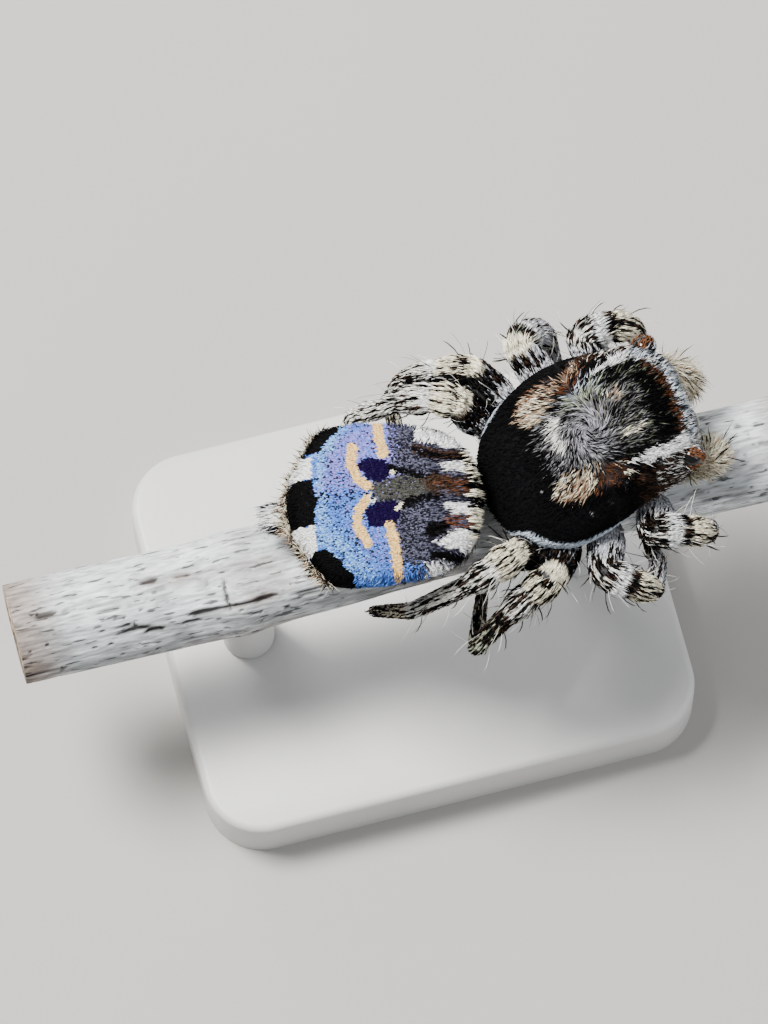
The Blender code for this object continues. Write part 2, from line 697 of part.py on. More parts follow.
def build_face(model):
    """Jaws and palps in front of the face."""
    draw = random.Random("face")
    for side, letter, palp in ((1, "l", PALP_LEFT), (-1, "r", PALP_RIGHT)):
        model.add(jaw_form("jaw_" + letter, side), DARK_BROWN, (shield_form(), underside_form()))
        root, bend, wrist, tip = [on_prosoma(place[0], side * place[1], place[2]) for place in palp]
        lens = ("eye_cutter", eye_centre("front_middle", side), EYES["front_middle"][3] + GAP)
        cutters = (shield_form(), underside_form(), jaw_form("jaw_cutter", side, GAP), ball(*lens))
        arm = limb("palp_arm_" + letter, (root, bend), PALP_ARM_RADII)
        model.add(fuse(arm, palp_locks(side, root, bend, PALP_ARM_LOCK_PLACES, draw)), CREAM, cutters)
        arm_cutter = limb("arm_cutter", (root, bend), PALP_ARM_RADII, grow=GAP)
        cutters = (arm_cutter, shield_form(), jaw_form("jaw_cutter", side, GAP), ball(*lens))
        bulb = limb("palp_bulb_" + letter, (bend, wrist, tip), PALP_BULB_RADII)
        model.add(fuse(bulb, palp_locks(side, bend, tip, PALP_BULB_LOCK_PLACES, draw)), CREAM, cutters)


def rim_point(turn, section, height):
    """A point of the abdomen's plan at an angle from straight ahead, with the way out from it."""
    def plan(angle):
        forward = ABDOMEN_REACH * 0.98 * math.cos(angle)
        cut = section(forward)
        return Vector((forward, cut.middle + math.copysign(cut.half, math.sin(angle)), 0.0))

    here = plan(turn)
    along = plan(turn + 0.08) - plan(turn - 0.08)
    out = Vector((along.y, -along.x, 0.0)).normalized()
    root = on_abdomen(here.x, here.y, height)
    return root, on_abdomen(here.x + out.x, here.y + out.y, height) - root


def rim_locks(draw):
    """Locks round the plate's edge: forward over the waist, outward and back elsewhere."""
    back = on_abdomen(-1.0, 0.0, 0.0) - on_abdomen(0.0, 0.0, 0.0)
    locks = []
    for index in range(RIM_LOCKS):
        turn = 2 * math.pi * (index + 0.5) / RIM_LOCKS
        root, out = rim_point(turn, plate_section, PLATE_LEVEL_Z + 0.03 * draw.uniform(-1.0, 1.0))
        lie = out * 0.5 + back * (-0.2 if math.cos(turn) > 0.8 else 0.6) + Vector((0.0, 0.0, -0.35))
        slant = (out + Vector((0.0, 0.0, 0.35))).normalized()
        locks.append(lock_form(root - out * 0.02, slant, lie, RIM_LOCK, draw))
    return locks


def flank_locks(draw):
    """Locks on the soft sides of the abdomen, lying backward and down."""
    back = on_abdomen(-1.0, 0.0, 0.0) - on_abdomen(0.0, 0.0, 0.0)
    locks = []
    for index in range(FLANK_LOCKS):
        turn = 0.5 + (2 * math.pi - 1.0) * index / (FLANK_LOCKS - 1)
        root, out = rim_point(turn, abdomen_section, FLANK_HEIGHTS[index % 2])
        locks.append(lock_form(root - out * 0.03, out, back - Vector((0.0, 0.0, 0.5)), FLANK_LOCK, draw))
    return locks


def build_abdomen(model):
    """Abdomen, patterned plate and spinnerets."""
    draw = random.Random("abdomen")
    abdomen = fuse(abdomen_form("abdomen", 0.0), flank_locks(draw))
    model.add(abdomen, GREY_BROWN, (shield_form(),))
    plate = fuse(plate_form("fan_plate", 0.0), rim_locks(draw))
    model.add(plate, LILAC_BLUE, (abdomen_form(), shield_form()))
    tubes = []
    for path, radii in ((SPINNERET_UPPER, SPINNERET_UPPER_RADII), (SPINNERET_LOWER, SPINNERET_LOWER_RADII)):
        for side in (1, -1):
            ends = [on_abdomen(place[0], side * place[1], place[2]) for place in path]
            tubes.append(limb("tube", ends, radii))
    core = limb("spinnerets", [on_abdomen(*place) for place in SPINNERET_CORE], SPINNERET_CORE_RADII)
    model.add(fuse(core, tubes), DARK_BROWN, (abdomen_form(), plate_form()))


def build_stand(model):
    """Flat base and two rods up to the twig."""
    bm = bmesh.new()
    bmesh.ops.create_cube(bm, size=1.0)
    bmesh.ops.scale(bm, verts=bm.verts, vec=(BASE_LENGTH * MM, BASE_WIDTH * MM, BASE_THICK * MM))
    bmesh.ops.translate(bm, verts=bm.verts, vec=(0.0, 0.0, 0.5 * BASE_THICK * MM))
    uprights = [e for e in bm.edges if abs(e.verts[0].co.z - e.verts[1].co.z) > 0.5 * BASE_THICK * MM]
    bmesh.ops.bevel(
        bm, geom=uprights, offset=BASE_CORNER * MM, segments=5, profile=0.5, affect="EDGES", material=-1)
    rim = [e for e in bm.edges if all(v.co.z > 0.9 * BASE_THICK * MM for v in e.verts)]
    bmesh.ops.bevel(
        bm, geom=rim, offset=BASE_EDGE * MM, segments=2, profile=0.5, affect="EDGES", material=-1)
    bmesh.ops.triangulate(bm, faces=bm.faces)
    model.add(finished("stand_base", bm), STAND_WHITE, roughness=SATIN)
    for letter, along in zip("ab", ROD_X):
        low = BASE_THICK + GAP
        height, radius = ROD_TOP_Z - low, ROD_RADIUS * MM
        bm = bmesh.new()
        bmesh.ops.create_cone(
            bm, cap_ends=True, segments=20, radius1=radius, radius2=radius, depth=height * MM)
        bmesh.ops.translate(bm, verts=bm.verts, vec=(along * MM, 0.0, (low + 0.5 * height) * MM))
        bmesh.ops.triangulate(bm, faces=bm.faces)
        model.add(finished("stand_rod_" + letter, bm), STAND_WHITE, (twig_form(),), SATIN)


def main():
    """Build every piece."""
    clear_scene()
    model = Model()
    build_stand(model)
    model.add(twig_form("twig", 0.0), BARK)
    build_prosoma(model)
    build_face(model)
    build_abdomen(model)
    for key, leg in LEGS.items():
        build_leg(model, key, leg)


main()
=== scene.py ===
"""Looks of a life-size male peacock spider that grips a cut twig on a display stand.

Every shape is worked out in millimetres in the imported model's own frame and becomes metres
once, when its mesh is finished. Heights of the spider are measured from the twig's axis.
"""

import itertools
import logging
import math
from dataclasses import dataclass, field, fields, replace
from enum import Enum
from typing import Iterable, Sequence

import bmesh
import bpy
import numpy as np
from mathutils import Matrix, Vector, kdtree


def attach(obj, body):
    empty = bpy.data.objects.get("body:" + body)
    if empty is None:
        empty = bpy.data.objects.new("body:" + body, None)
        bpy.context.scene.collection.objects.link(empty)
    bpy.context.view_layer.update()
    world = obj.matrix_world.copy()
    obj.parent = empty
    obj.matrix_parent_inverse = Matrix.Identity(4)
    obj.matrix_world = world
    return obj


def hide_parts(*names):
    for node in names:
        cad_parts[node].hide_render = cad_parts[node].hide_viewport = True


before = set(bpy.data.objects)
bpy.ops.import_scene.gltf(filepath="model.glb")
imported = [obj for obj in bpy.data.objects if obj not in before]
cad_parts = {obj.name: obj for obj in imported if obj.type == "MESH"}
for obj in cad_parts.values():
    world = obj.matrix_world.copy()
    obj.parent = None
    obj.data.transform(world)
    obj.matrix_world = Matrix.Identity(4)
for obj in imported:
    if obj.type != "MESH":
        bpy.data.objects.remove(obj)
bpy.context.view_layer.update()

LOG = logging.getLogger("peacock_spider")
Array = np.ndarray
Colour = tuple[float, float, float]
Node = bpy.types.Node

METRES = 0.001
TWIG_AXIS_Z = 2.65
TWIG_RADIUS = 0.525
TWIG_START = -4.15
TWIG_END = 3.95
PATCH = 0.003
EVEN_STEPS = (0.8191725134, 0.6710436067, 0.5497004779)

BLACK = (0.002, 0.0019, 0.0022)
INK = (0.02, 0.022, 0.028)
VELVET = (0.003, 0.003, 0.0036)
BROWN = (0.05, 0.026, 0.015)
RUST = (0.155, 0.055, 0.024)
AUBURN = (0.25, 0.105, 0.05)
UMBER = (0.075, 0.03, 0.014)
TAN = (0.47, 0.33, 0.22)
CREAM = (0.95, 0.88, 0.68)
PALE = (0.93, 0.92, 0.86)
WHITE = (0.98, 0.98, 0.97)
GREY = (0.17, 0.165, 0.17)
ASH = (0.4, 0.41, 0.44)
MIST = (0.6, 0.61, 0.65)
FROST = (0.62, 0.7, 0.8)
OLIVE = (0.13, 0.14, 0.1)
AMBER = (0.93, 0.6, 0.23)
SAGE = (0.36, 0.4, 0.3)
KHAKI = (0.4, 0.43, 0.33)
STRAW = (0.5, 0.52, 0.4)
FAWN = (0.36, 0.31, 0.25)
PEAT = (0.035, 0.027, 0.022)
SEPIA = (0.03, 0.02, 0.014)
WEATHERED = (0.62, 0.645, 0.66)
STAINED = (0.17, 0.1, 0.06)
CRACK = (0.022, 0.016, 0.013)
WOOD = (0.52, 0.41, 0.27)
GROWTH_RING = (0.3, 0.21, 0.13)

# Round each lens: the radius in millimetres that makes it large, and reaches in its own radii
LARGE_EYE = 0.1
WIDE_SOCKET = 1.6
NARROW_SOCKET = 1.12
NARROW_CLEARING = 1.2
CLEARING_EDGE = 0.06
SOCKET_DEPTH = 0.9


class Slot(Enum):
    """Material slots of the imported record."""

    SHIELD = "shield_hair"
    CUTICLE = "cuticle"
    BODY = "body_hair"
    PLATE = "plate_scales"
    PALE = "pale_hair"
    LEG = "leg_hair"
    EYE = "eye"
    BARK = "bark"
    STAND = "stand"


class Side(Enum):
    """The two sides of the body, as the sign of its outward axis."""

    LEFT = 1
    RIGHT = -1

    @property
    def letter(self) -> str:
        """The side's letter in node names."""
        return self.name[0].lower()


def blend(low: Array, high: Array | Colour, share: Array) -> Array:
    """Mix two sets of colours by a share for each row."""
    return low + (np.asarray(high) - low) * share[:, None]


def ramp(value: Array, start: float, end: float) -> Array:
    """Rise smoothly from 0 at start to 1 at end, or fall where end is the smaller."""
    share = np.clip((value - start) / (end - start), 0.0, 1.0)
    return share * share * (3.0 - 2.0 * share)


def unit(vectors: Array) -> Array:
    """Scale each row to length one."""
    return vectors / np.maximum(np.linalg.norm(vectors, axis=-1, keepdims=True), 1e-12)


def lattice_noise(points: Array, cell: float, seed: int) -> Array:
    """Smooth random values from 0 to 1 that depend only on place.

    Args:
        points: Places, one row each, in any number of columns up to three.
        cell: Size of the pattern's cells, in the units of the places.
        seed: Picks one pattern among many.

    Returns:
        One value for each row.
    """
    grid = points / cell
    base = np.floor(grid)
    part = grid - base
    part = part * part * (3.0 - 2.0 * part)
    steps = np.array((73856093, 19349663, 83492791))[: points.shape[1]]
    total = np.zeros(len(points))
    for corner in itertools.product((0, 1), repeat=points.shape[1]):
        offset = np.array(corner)
        key = (base.astype(np.int64) + offset) @ steps + seed * 7919
        key = (key ^ (key >> 13)) * 1274126177
        value = ((key ^ (key >> 16)) & 0xFFFF) / 65535.0
        total += value * np.prod(np.where(offset > 0, part, 1.0 - part), axis=1)
    return total


@dataclass(frozen=True)
class Profile:
    """A smooth curve through (place, value) knots."""

    knots: tuple[tuple[float, float], ...]

    def __call__(self, where: Array) -> Array:
        """Read the curve at many places."""
        places, values = np.array(self.knots, dtype=float).T
        slopes = np.gradient(values)
        slopes[1:-1] = (values[2:] - values[:-2]) / (places[2:] - places[:-2])
        slopes[0] /= places[1] - places[0]
        slopes[-1] /= places[-1] - places[-2]
        where = np.clip(where, places[0], places[-1])
        low = np.clip(np.searchsorted(places, where, side="right") - 1, 0, len(places) - 2)
        span = places[low + 1] - places[low]
        t = (where - places[low]) / span
        return ((2 * t**3 - 3 * t**2 + 1) * values[low] + (t**3 - 2 * t**2 + t) * span * slopes[low]
                + (3 * t**2 - 2 * t**3) * values[low + 1] + (t**3 - t**2) * span * slopes[low + 1])

    def scaled(self, factor: float, start: float = 0.0) -> "Profile":
        """The same curve with its values made larger and lifted."""
        return Profile(tuple((place, start + factor * value) for place, value in self.knots))

    def raised(self, power: float) -> "Profile":
        """The same curve with its values raised to a power."""
        return Profile(tuple((place, value**power) for place, value in self.knots))


def level_profile(value: float) -> Profile:
    """A profile that keeps one value."""
    return Profile(((-5.0, value), (5.0, value)))


@dataclass(frozen=True)
class BodyFrame:
    """One half of the body: the room place of its own zero, and the way it points."""

    zero: tuple[float, float]
    yaw: float

    def place(self, forward: Array, outward: Array, height: Array) -> Array:
        """Turn body places into room places, one row each."""
        forward, outward, height = np.broadcast_arrays(forward, outward, height)
        ways = self.way(forward, outward, height)
        return ways + np.array((*self.zero, TWIG_AXIS_Z))

    def way(self, forward: Array, outward: Array, height: Array) -> Array:
        """Turn body directions into room directions."""
        cos, sin = math.cos(self.yaw), math.sin(self.yaw)
        return np.stack((forward * cos - outward * sin, forward * sin + outward * cos, height),
                        axis=-1).astype(float)

    def local(self, points: Array) -> Array:
        """Turn room places into (forward, outward, height) of this half of the body."""
        x, y = points[:, 0] - self.zero[0], points[:, 1] - self.zero[1]
        cos, sin = math.cos(self.yaw), math.sin(self.yaw)
        return np.stack((x * cos + y * sin, y * cos - x * sin, points[:, 2] - TWIG_AXIS_Z), axis=1)


PROSOMA = BodyFrame((0.685, 0.012), math.radians(7.5))
ABDOMEN = BodyFrame((-0.29, 0.04), math.radians(-11.0))


@dataclass
class Roots:
    """Places on a surface where tufts may grow, one row each."""

    patch: Array
    place: Array
    out: Array
    along: Array

    def chosen(self, keep: Array) -> "Roots":
        """Only the rows that a mask keeps."""
        return Roots(self.patch[keep], self.place[keep], self.out[keep], self.along[keep])

    def thinned(self, share: Array, rng: np.random.Generator) -> "Roots":
        """Keep each row by its own chance."""
        return self.chosen(rng.random(len(self.place)) < share)


class Surface:
    """A closed surface read by u, from end to end, and v, once round."""

    def point(self, u: Array, v: Array) -> Array:
        """Places on the surface."""
        raise NotImplementedError

    def roots(self, patch: Array) -> tuple[Roots, Array]:
        """Read the surface at many places.

        Args:
            patch: Rows of (u, v).

        Returns:
            The places with their outward normals and ways along, and the area of a small patch at each.
        """
        step = 1e-3
        u, v = patch[:, 0], patch[:, 1]
        ahead, behind = self.point(np.minimum(u + step, 1.0), v), self.point(np.maximum(u - step, 0.0), v)
        along = (ahead - behind) / (2 * step)
        around = (self.point(u, v + step) - self.point(u, v - step)) / (2 * step)
        across = np.cross(around, along)
        return Roots(patch, self.point(u, v), unit(across), unit(along)), np.linalg.norm(across, axis=1)

    def scatter(self, count: int, rng: np.random.Generator) -> Roots:
        """Spread roots evenly over the whole surface.

        Args:
            count: About how many.
            rng: The seeded source of random draws.

        Returns:
            The roots.
        """
        over = 6
        tries = (rng.random(3) + np.arange(count * over)[:, None] * np.array(EVEN_STEPS)) % 1.0
        tries[:, :2] += rng.normal(0.0, 0.35 / math.sqrt(count), (len(tries), 2))
        tries[:, 0] = np.clip(tries[:, 0], 0.001, 0.999)
        tries[:, 1] %= 1.0
        found, area = self.roots(tries[:, :2])
        return found.chosen(tries[:, 2] < np.clip(area / (area.mean() * over), 0.0, 1.0))


@dataclass(frozen=True)
class ShellSurface(Surface):
    """A half of the body: squared round sections along its own axis."""

    body: BodyFrame
    start: float
    end: float
    half: Profile
    level: Profile
    top: Profile
    bottom: Profile
    square_top: Profile
    square_low: float = 2.6
    inset: float = 0.0
    middle: Profile = level_profile(0.0)
    closing: float = 0.25

    def point(self, u: Array, v: Array) -> Array:
        """Places on the shell, inset by the coat's depth."""
        station = self.start + (self.end - self.start) * 0.5 * (1.0 - np.cos(np.pi * u))
        rise, side = np.sin(2 * np.pi * v), np.cos(2 * np.pi * v)
        power = 2.0 / np.where(rise > 0, self.square_top(station), self.square_low)
        level = self.level(station)
        reach = np.where(rise > 0, self.top(station) - level, level - self.bottom(station))
        closing = np.sin(np.pi * u) ** self.closing
        half = np.maximum(self.half(station) - self.inset, 0.0) * closing
        outward = self.middle(station) + half * np.sign(side) * np.abs(side) ** power
        reach = np.maximum(reach - self.inset, 0.02) * closing
        height = level + reach * np.sign(rise) * np.abs(rise) ** power
        return self.body.place(station + self.inset * np.cos(np.pi * u), outward, height)


@dataclass(frozen=True)
class TubeSurface(Surface):
    """A limb: round sections along a softly bent path."""

    path: Array
    radius: Profile
    soft: float = 0.05
    samples: int = 160
    centres: Array = field(init=False, repr=False)
    tangents: Array = field(init=False, repr=False)
    sides: Array = field(init=False, repr=False)
    reach: Array = field(init=False, repr=False)
    length: float = field(init=False)

    def __post_init__(self) -> None:
        """Work out the smoothed path and a frame that doesn't twist along it."""
        reach = np.concatenate(((0.0,), np.cumsum(np.linalg.norm(np.diff(self.path, axis=0), axis=1))))
        where = np.linspace(0.0, reach[-1], self.samples)
        line = np.stack([np.interp(where, reach, self.path[:, i]) for i in range(3)], axis=1)
        apart = np.abs(where[:, None] - where[None, :])
        ends = np.minimum(where, reach[-1] - where)[:, None]
        spread = np.where(apart <= ends + 1e-9, np.exp(-((apart / self.soft) ** 2)), 0.0)
        line = (spread @ line) / spread.sum(axis=1, keepdims=True)
        tangents = unit(np.gradient(line, axis=0))
        side = np.cross((0.0, 0.0, 1.0), tangents[0])
        sides = []
        for tangent in tangents:
            side = unit(side - tangent * (side @ tangent))
            sides.append(side)
        for name, value in (("centres", line), ("tangents", tangents), ("sides", np.array(sides)),
                            ("reach", reach / reach[-1]), ("length", float(reach[-1]))):
            object.__setattr__(self, name, value)

    def share(self, joint: Array) -> Array:
        """Turn joint numbers, such as 2.5 for half way past joint 2, into shares of the length."""
        return np.interp(joint, np.arange(len(self.reach)), self.reach)

    def joint(self, u: Array) -> Array:
        """Turn shares of the length into joint numbers."""
        return np.interp(u, self.reach, np.arange(len(self.reach)))

    def gap_to(self, points: Array) -> Array:
        """How far places are from this limb's skin."""
        apart = np.linalg.norm(points[:, None] - self.centres[None], axis=2)
        return (apart - self.radius(self.joint(np.linspace(0.0, 1.0, self.samples)))).min(axis=1)

    def follow(self, values: Array, u: Array) -> Array:
        """Read values kept along the path."""
        where = np.linspace(0.0, 1.0, self.samples)
        return np.stack([np.interp(u, where, values[:, i]) for i in range(3)], axis=1)

    def point(self, u: Array, v: Array) -> Array:
        """Places on the limb, with rounded ends."""
        tangent = unit(self.follow(self.tangents, u))
        side = unit(self.follow(self.sides, u))
        over = np.cross(tangent, side)
        radius = self.radius(self.joint(u))
        near = np.clip(np.minimum(u, 1.0 - u) * self.length / radius, 0.0, 1.0)
        radius = (radius * np.sqrt(np.maximum(1.0 - (1.0 - near) ** 2, 0.0)))[:, None]
        turn = 2 * np.pi * v[:, None]
        return self.follow(self.centres, u) + (side * np.cos(turn) + over * np.sin(turn)) * radius


def wrap(surface: Surface, around: int, along: int) -> bmesh.types.BMesh:
    """Wrap a sphere's mesh over a surface.

    Args:
        surface: What the mesh follows.
        around: Faces round the surface.
        along: Faces from end to end.

    Returns:
        A closed mesh in millimetres.
    """
    bm = bmesh.new()
    bmesh.ops.create_uvsphere(bm, u_segments=around, v_segments=along, radius=1.0)
    sphere = np.array([vert.co for vert in bm.verts])
    u = np.arccos(np.clip(sphere[:, 2], -1.0, 1.0)) / np.pi
    v = np.arctan2(sphere[:, 1], sphere[:, 0]) / (2 * np.pi)
    for vert, place in zip(bm.verts, surface.point(u, v)):
        vert.co = place
    bmesh.ops.recalc_face_normals(bm, faces=bm.faces)
    return bm


def mesh_from(bm: bmesh.types.BMesh, name: str) -> bpy.types.Mesh:
    """Finish a mesh that was built in millimetres, and free its builder."""
    mesh = bpy.data.meshes.new(name)
    bm.to_mesh(mesh)
    bm.free()
    return mesh


def add_part(whole: bmesh.types.BMesh, part: bmesh.types.BMesh) -> None:
    """Join one builder's shape to another's, and free it."""
    mesh = mesh_from(part, "part")
    whole.from_mesh(mesh)
    bpy.data.meshes.remove(mesh)


def vertex_places(mesh: bpy.types.Mesh) -> Array:
    """Read a mesh's vertices."""
    flat = np.empty(len(mesh.vertices) * 3)
    mesh.vertices.foreach_get("co", flat)
    return flat.reshape(-1, 3)


def set_places(mesh: bpy.types.Mesh, places: Array) -> None:
    """Write a mesh's vertices."""
    mesh.vertices.foreach_set("co", places.ravel())
    mesh.update()


def paint(mesh: bpy.types.Mesh, colours: Array) -> None:
    """Store one colour for each vertex, under the name that the finishes read."""
    layer = mesh.color_attributes.new("tint", "FLOAT_COLOR", "POINT")
    rgba = np.concatenate((np.clip(colours, 0.0, 1.0), np.ones((len(colours), 1))), axis=1)
    layer.data.foreach_set("color", rgba.ravel())


class Workshop:
    """Puts finished meshes in the scene as pieces of the model."""

    def __init__(self, finishes: "Finishes") -> None:
        """Start with the materials and no pieces."""
        self.finishes = finishes
        self.triangles = 0

    def keep(self, mesh: bpy.types.Mesh, slot: Slot, finish: bpy.types.Material,
             nodes: Sequence[str] = (), smooth: bool = True) -> None:
        """Turn a mesh in millimetres into a piece that rides on the model.

        Args:
            mesh: The finished mesh, named for the piece.
            slot: The record's slot for the piece; not used.
            finish: Its material.
            nodes: Solids that it stands for.
            smooth: Whether its faces are shaded round.
        """
        mesh.transform(Matrix.Scale(METRES, 4))
        mesh.materials.clear()
        mesh.materials.append(finish)
        if smooth:
            mesh.shade_smooth()
        piece = bpy.data.objects.new(mesh.name, mesh)
        bpy.context.scene.collection.objects.link(piece)
        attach(piece, "root")
        if nodes:
            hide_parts(*nodes)
        count = sum(len(face.vertices) - 2 for face in mesh.polygons)
        self.triangles += count
        LOG.info("%s: %d triangles", piece.name, count)


class NodeGroups:
    """Shader node groups that several finishes share."""

    def __init__(self) -> None:
        """Build each group once."""
        self.mottle = self.build_mottle()
        self.grain = self.build_grain()

    @staticmethod
    def start(name: str, inputs: Iterable[tuple[str, str, float | tuple]],
              outputs: Iterable[tuple[str, str]]) -> tuple[bpy.types.NodeTree, Node, Node]:
        """Start a group with named sockets.

        Args:
            name: The group's name.
            inputs: Rows of name, socket type and value.
            outputs: Rows of name and socket type.

        Returns:
            The group, its input node and its output node.
        """
        group = bpy.data.node_groups.new(name, "ShaderNodeTree")
        for label, kind, value in inputs:
            group.interface.new_socket(label, in_out="INPUT", socket_type=kind).default_value = value
        for label, kind in outputs:
            group.interface.new_socket(label, in_out="OUTPUT", socket_type=kind)
        return group, group.nodes.new("NodeGroupInput"), group.nodes.new("NodeGroupOutput")

    @staticmethod
    def noise(group: bpy.types.NodeTree, source: Node, detail: float,
              shift: tuple[float, float, float] = (0.0, 0.0, 0.0)) -> bpy.types.NodeSocket:
        """Add noise on stretched Object coordinates to a group.

        Args:
            group: The group.
            source: Its input node, with a Stretch and a Scale.
            detail: How many finer layers the noise has.
            shift: Moves the noise, so that two don't match.

        Returns:
            The socket that gives the noise.
        """
        nodes, links = group.nodes, group.links
        coords = nodes.new("ShaderNodeTexCoord")
        stretch = nodes.new("ShaderNodeVectorMath")
        stretch.operation = "MULTIPLY_ADD"
        stretch.inputs[2].default_value = shift
        noise = nodes.new("ShaderNodeTexNoise")
        noise.inputs["Detail"].default_value = detail
        links.new(coords.outputs["Object"], stretch.inputs[0])
        links.new(source.outputs["Stretch"], stretch.inputs[1])
        links.new(stretch.outputs["Vector"], noise.inputs["Vector"])
        links.new(source.outputs["Scale"], noise.inputs["Scale"])
        return noise.outputs["Fac"]

    def build_mottle(self) -> bpy.types.NodeTree:
        """Build the group that varies a colour's brightness from place to place."""
        group, source, sink = self.start(
            "mottled_colour",
            (("Color", "NodeSocketColor", (0.5, 0.5, 0.5, 1.0)), ("Scale", "NodeSocketFloat", 20000.0),
             ("Darkest", "NodeSocketFloat", 0.7), ("Lightest", "NodeSocketFloat", 1.3),
             ("Stretch", "NodeSocketVector", (1.0, 1.0, 1.0)), ("Fleck Shade", "NodeSocketFloat", 1.0)),
            (("Color", "NodeSocketColor"),))
        nodes, links = group.nodes, group.links
        spread = nodes.new("ShaderNodeMapRange")
        fleck = nodes.new("ShaderNodeMapRange")
        for node, low, high in ((spread, 0.3, 0.7), (fleck, 0.6, 0.67)):
            node.inputs["From Min"].default_value = low
            node.inputs["From Max"].default_value = high
        fleck.inputs["To Min"].default_value = 1.0
        both = nodes.new("ShaderNodeMath")
        both.operation = "MULTIPLY"
        scale = nodes.new("ShaderNodeVectorMath")
        scale.operation = "SCALE"
        links.new(self.noise(group, source, 3.0), spread.inputs["Value"])
        links.new(self.noise(group, source, 2.0, (0.37, 0.11, 0.23)), fleck.inputs["Value"])
        links.new(source.outputs["Darkest"], spread.inputs["To Min"])
        links.new(source.outputs["Lightest"], spread.inputs["To Max"])
        links.new(source.outputs["Fleck Shade"], fleck.inputs["To Max"])
        links.new(spread.outputs["Result"], both.inputs[0])
        links.new(fleck.outputs["Result"], both.inputs[1])
        links.new(source.outputs["Color"], scale.inputs[0])
        links.new(both.outputs["Value"], scale.inputs["Scale"])
        links.new(scale.outputs["Vector"], sink.inputs["Color"])
        return group

    def build_grain(self) -> bpy.types.NodeTree:
        """Build the group that gives a fine bumpy height."""
        group, source, sink = self.start(
            "fine_grain",
            (("Scale", "NodeSocketFloat", 40000.0), ("Stretch", "NodeSocketVector", (1.0, 1.0, 1.0))),
            (("Height", "NodeSocketFloat"),))
        group.links.new(self.noise(group, source, 4.0), sink.inputs["Height"])
        return group


@dataclass(frozen=True)
class Finish:
    """A finish: painted or plain colour, gloss, and the grain of its surface."""

    name: str
    roughness: float
    colour: Colour | None = None
    specular: float = 0.5
    mottle: float = 0.25
    mottle_scale: float = 30000.0
    grain_scale: float = 40000.0
    stretch: Colour = (1.0, 1.0, 1.0)
    fleck_shade: float = 1.0
    grain_depth: float = 0.0
    coat: float = 0.0

    def build(self, groups: NodeGroups) -> bpy.types.Material:
        """Make the material.

        Args:
            groups: The shared node groups.

        Returns:
            A material whose colour is the piece's painted tint, or this finish's own.
        """
        material = bpy.data.materials.new(self.name)
        material.use_nodes = True
        nodes, links = material.node_tree.nodes, material.node_tree.links
        shader = nodes["Principled BSDF"]
        for socket, value in (("Roughness", self.roughness), ("Specular IOR Level", self.specular),
                              ("Coat Weight", self.coat), ("Coat Roughness", 0.06)):
            shader.inputs[socket].default_value = value
        mottle = nodes.new("ShaderNodeGroup")
        mottle.node_tree = groups.mottle
        mottle.inputs["Scale"].default_value = self.mottle_scale
        mottle.inputs["Darkest"].default_value = 1.0 - self.mottle
        mottle.inputs["Lightest"].default_value = 1.0 + 0.6 * self.mottle
        mottle.inputs["Stretch"].default_value = self.stretch
        mottle.inputs["Fleck Shade"].default_value = self.fleck_shade
        if self.colour is None:
            tint = nodes.new("ShaderNodeVertexColor")
            tint.layer_name = "tint"
            links.new(tint.outputs["Color"], mottle.inputs["Color"])
        else:
            mottle.inputs["Color"].default_value = (*self.colour, 1.0)
        links.new(mottle.outputs["Color"], shader.inputs["Base Color"])
        if self.grain_depth > 0.0:
            grain = nodes.new("ShaderNodeGroup")
            grain.node_tree = groups.grain
            grain.inputs["Scale"].default_value = self.grain_scale
            grain.inputs["Stretch"].default_value = self.stretch
            bump = nodes.new("ShaderNodeBump")
            bump.inputs["Distance"].default_value = self.grain_depth * METRES
            links.new(grain.outputs["Height"], bump.inputs["Height"])
            links.new(bump.outputs["Normal"], shader.inputs["Normal"])
        return material


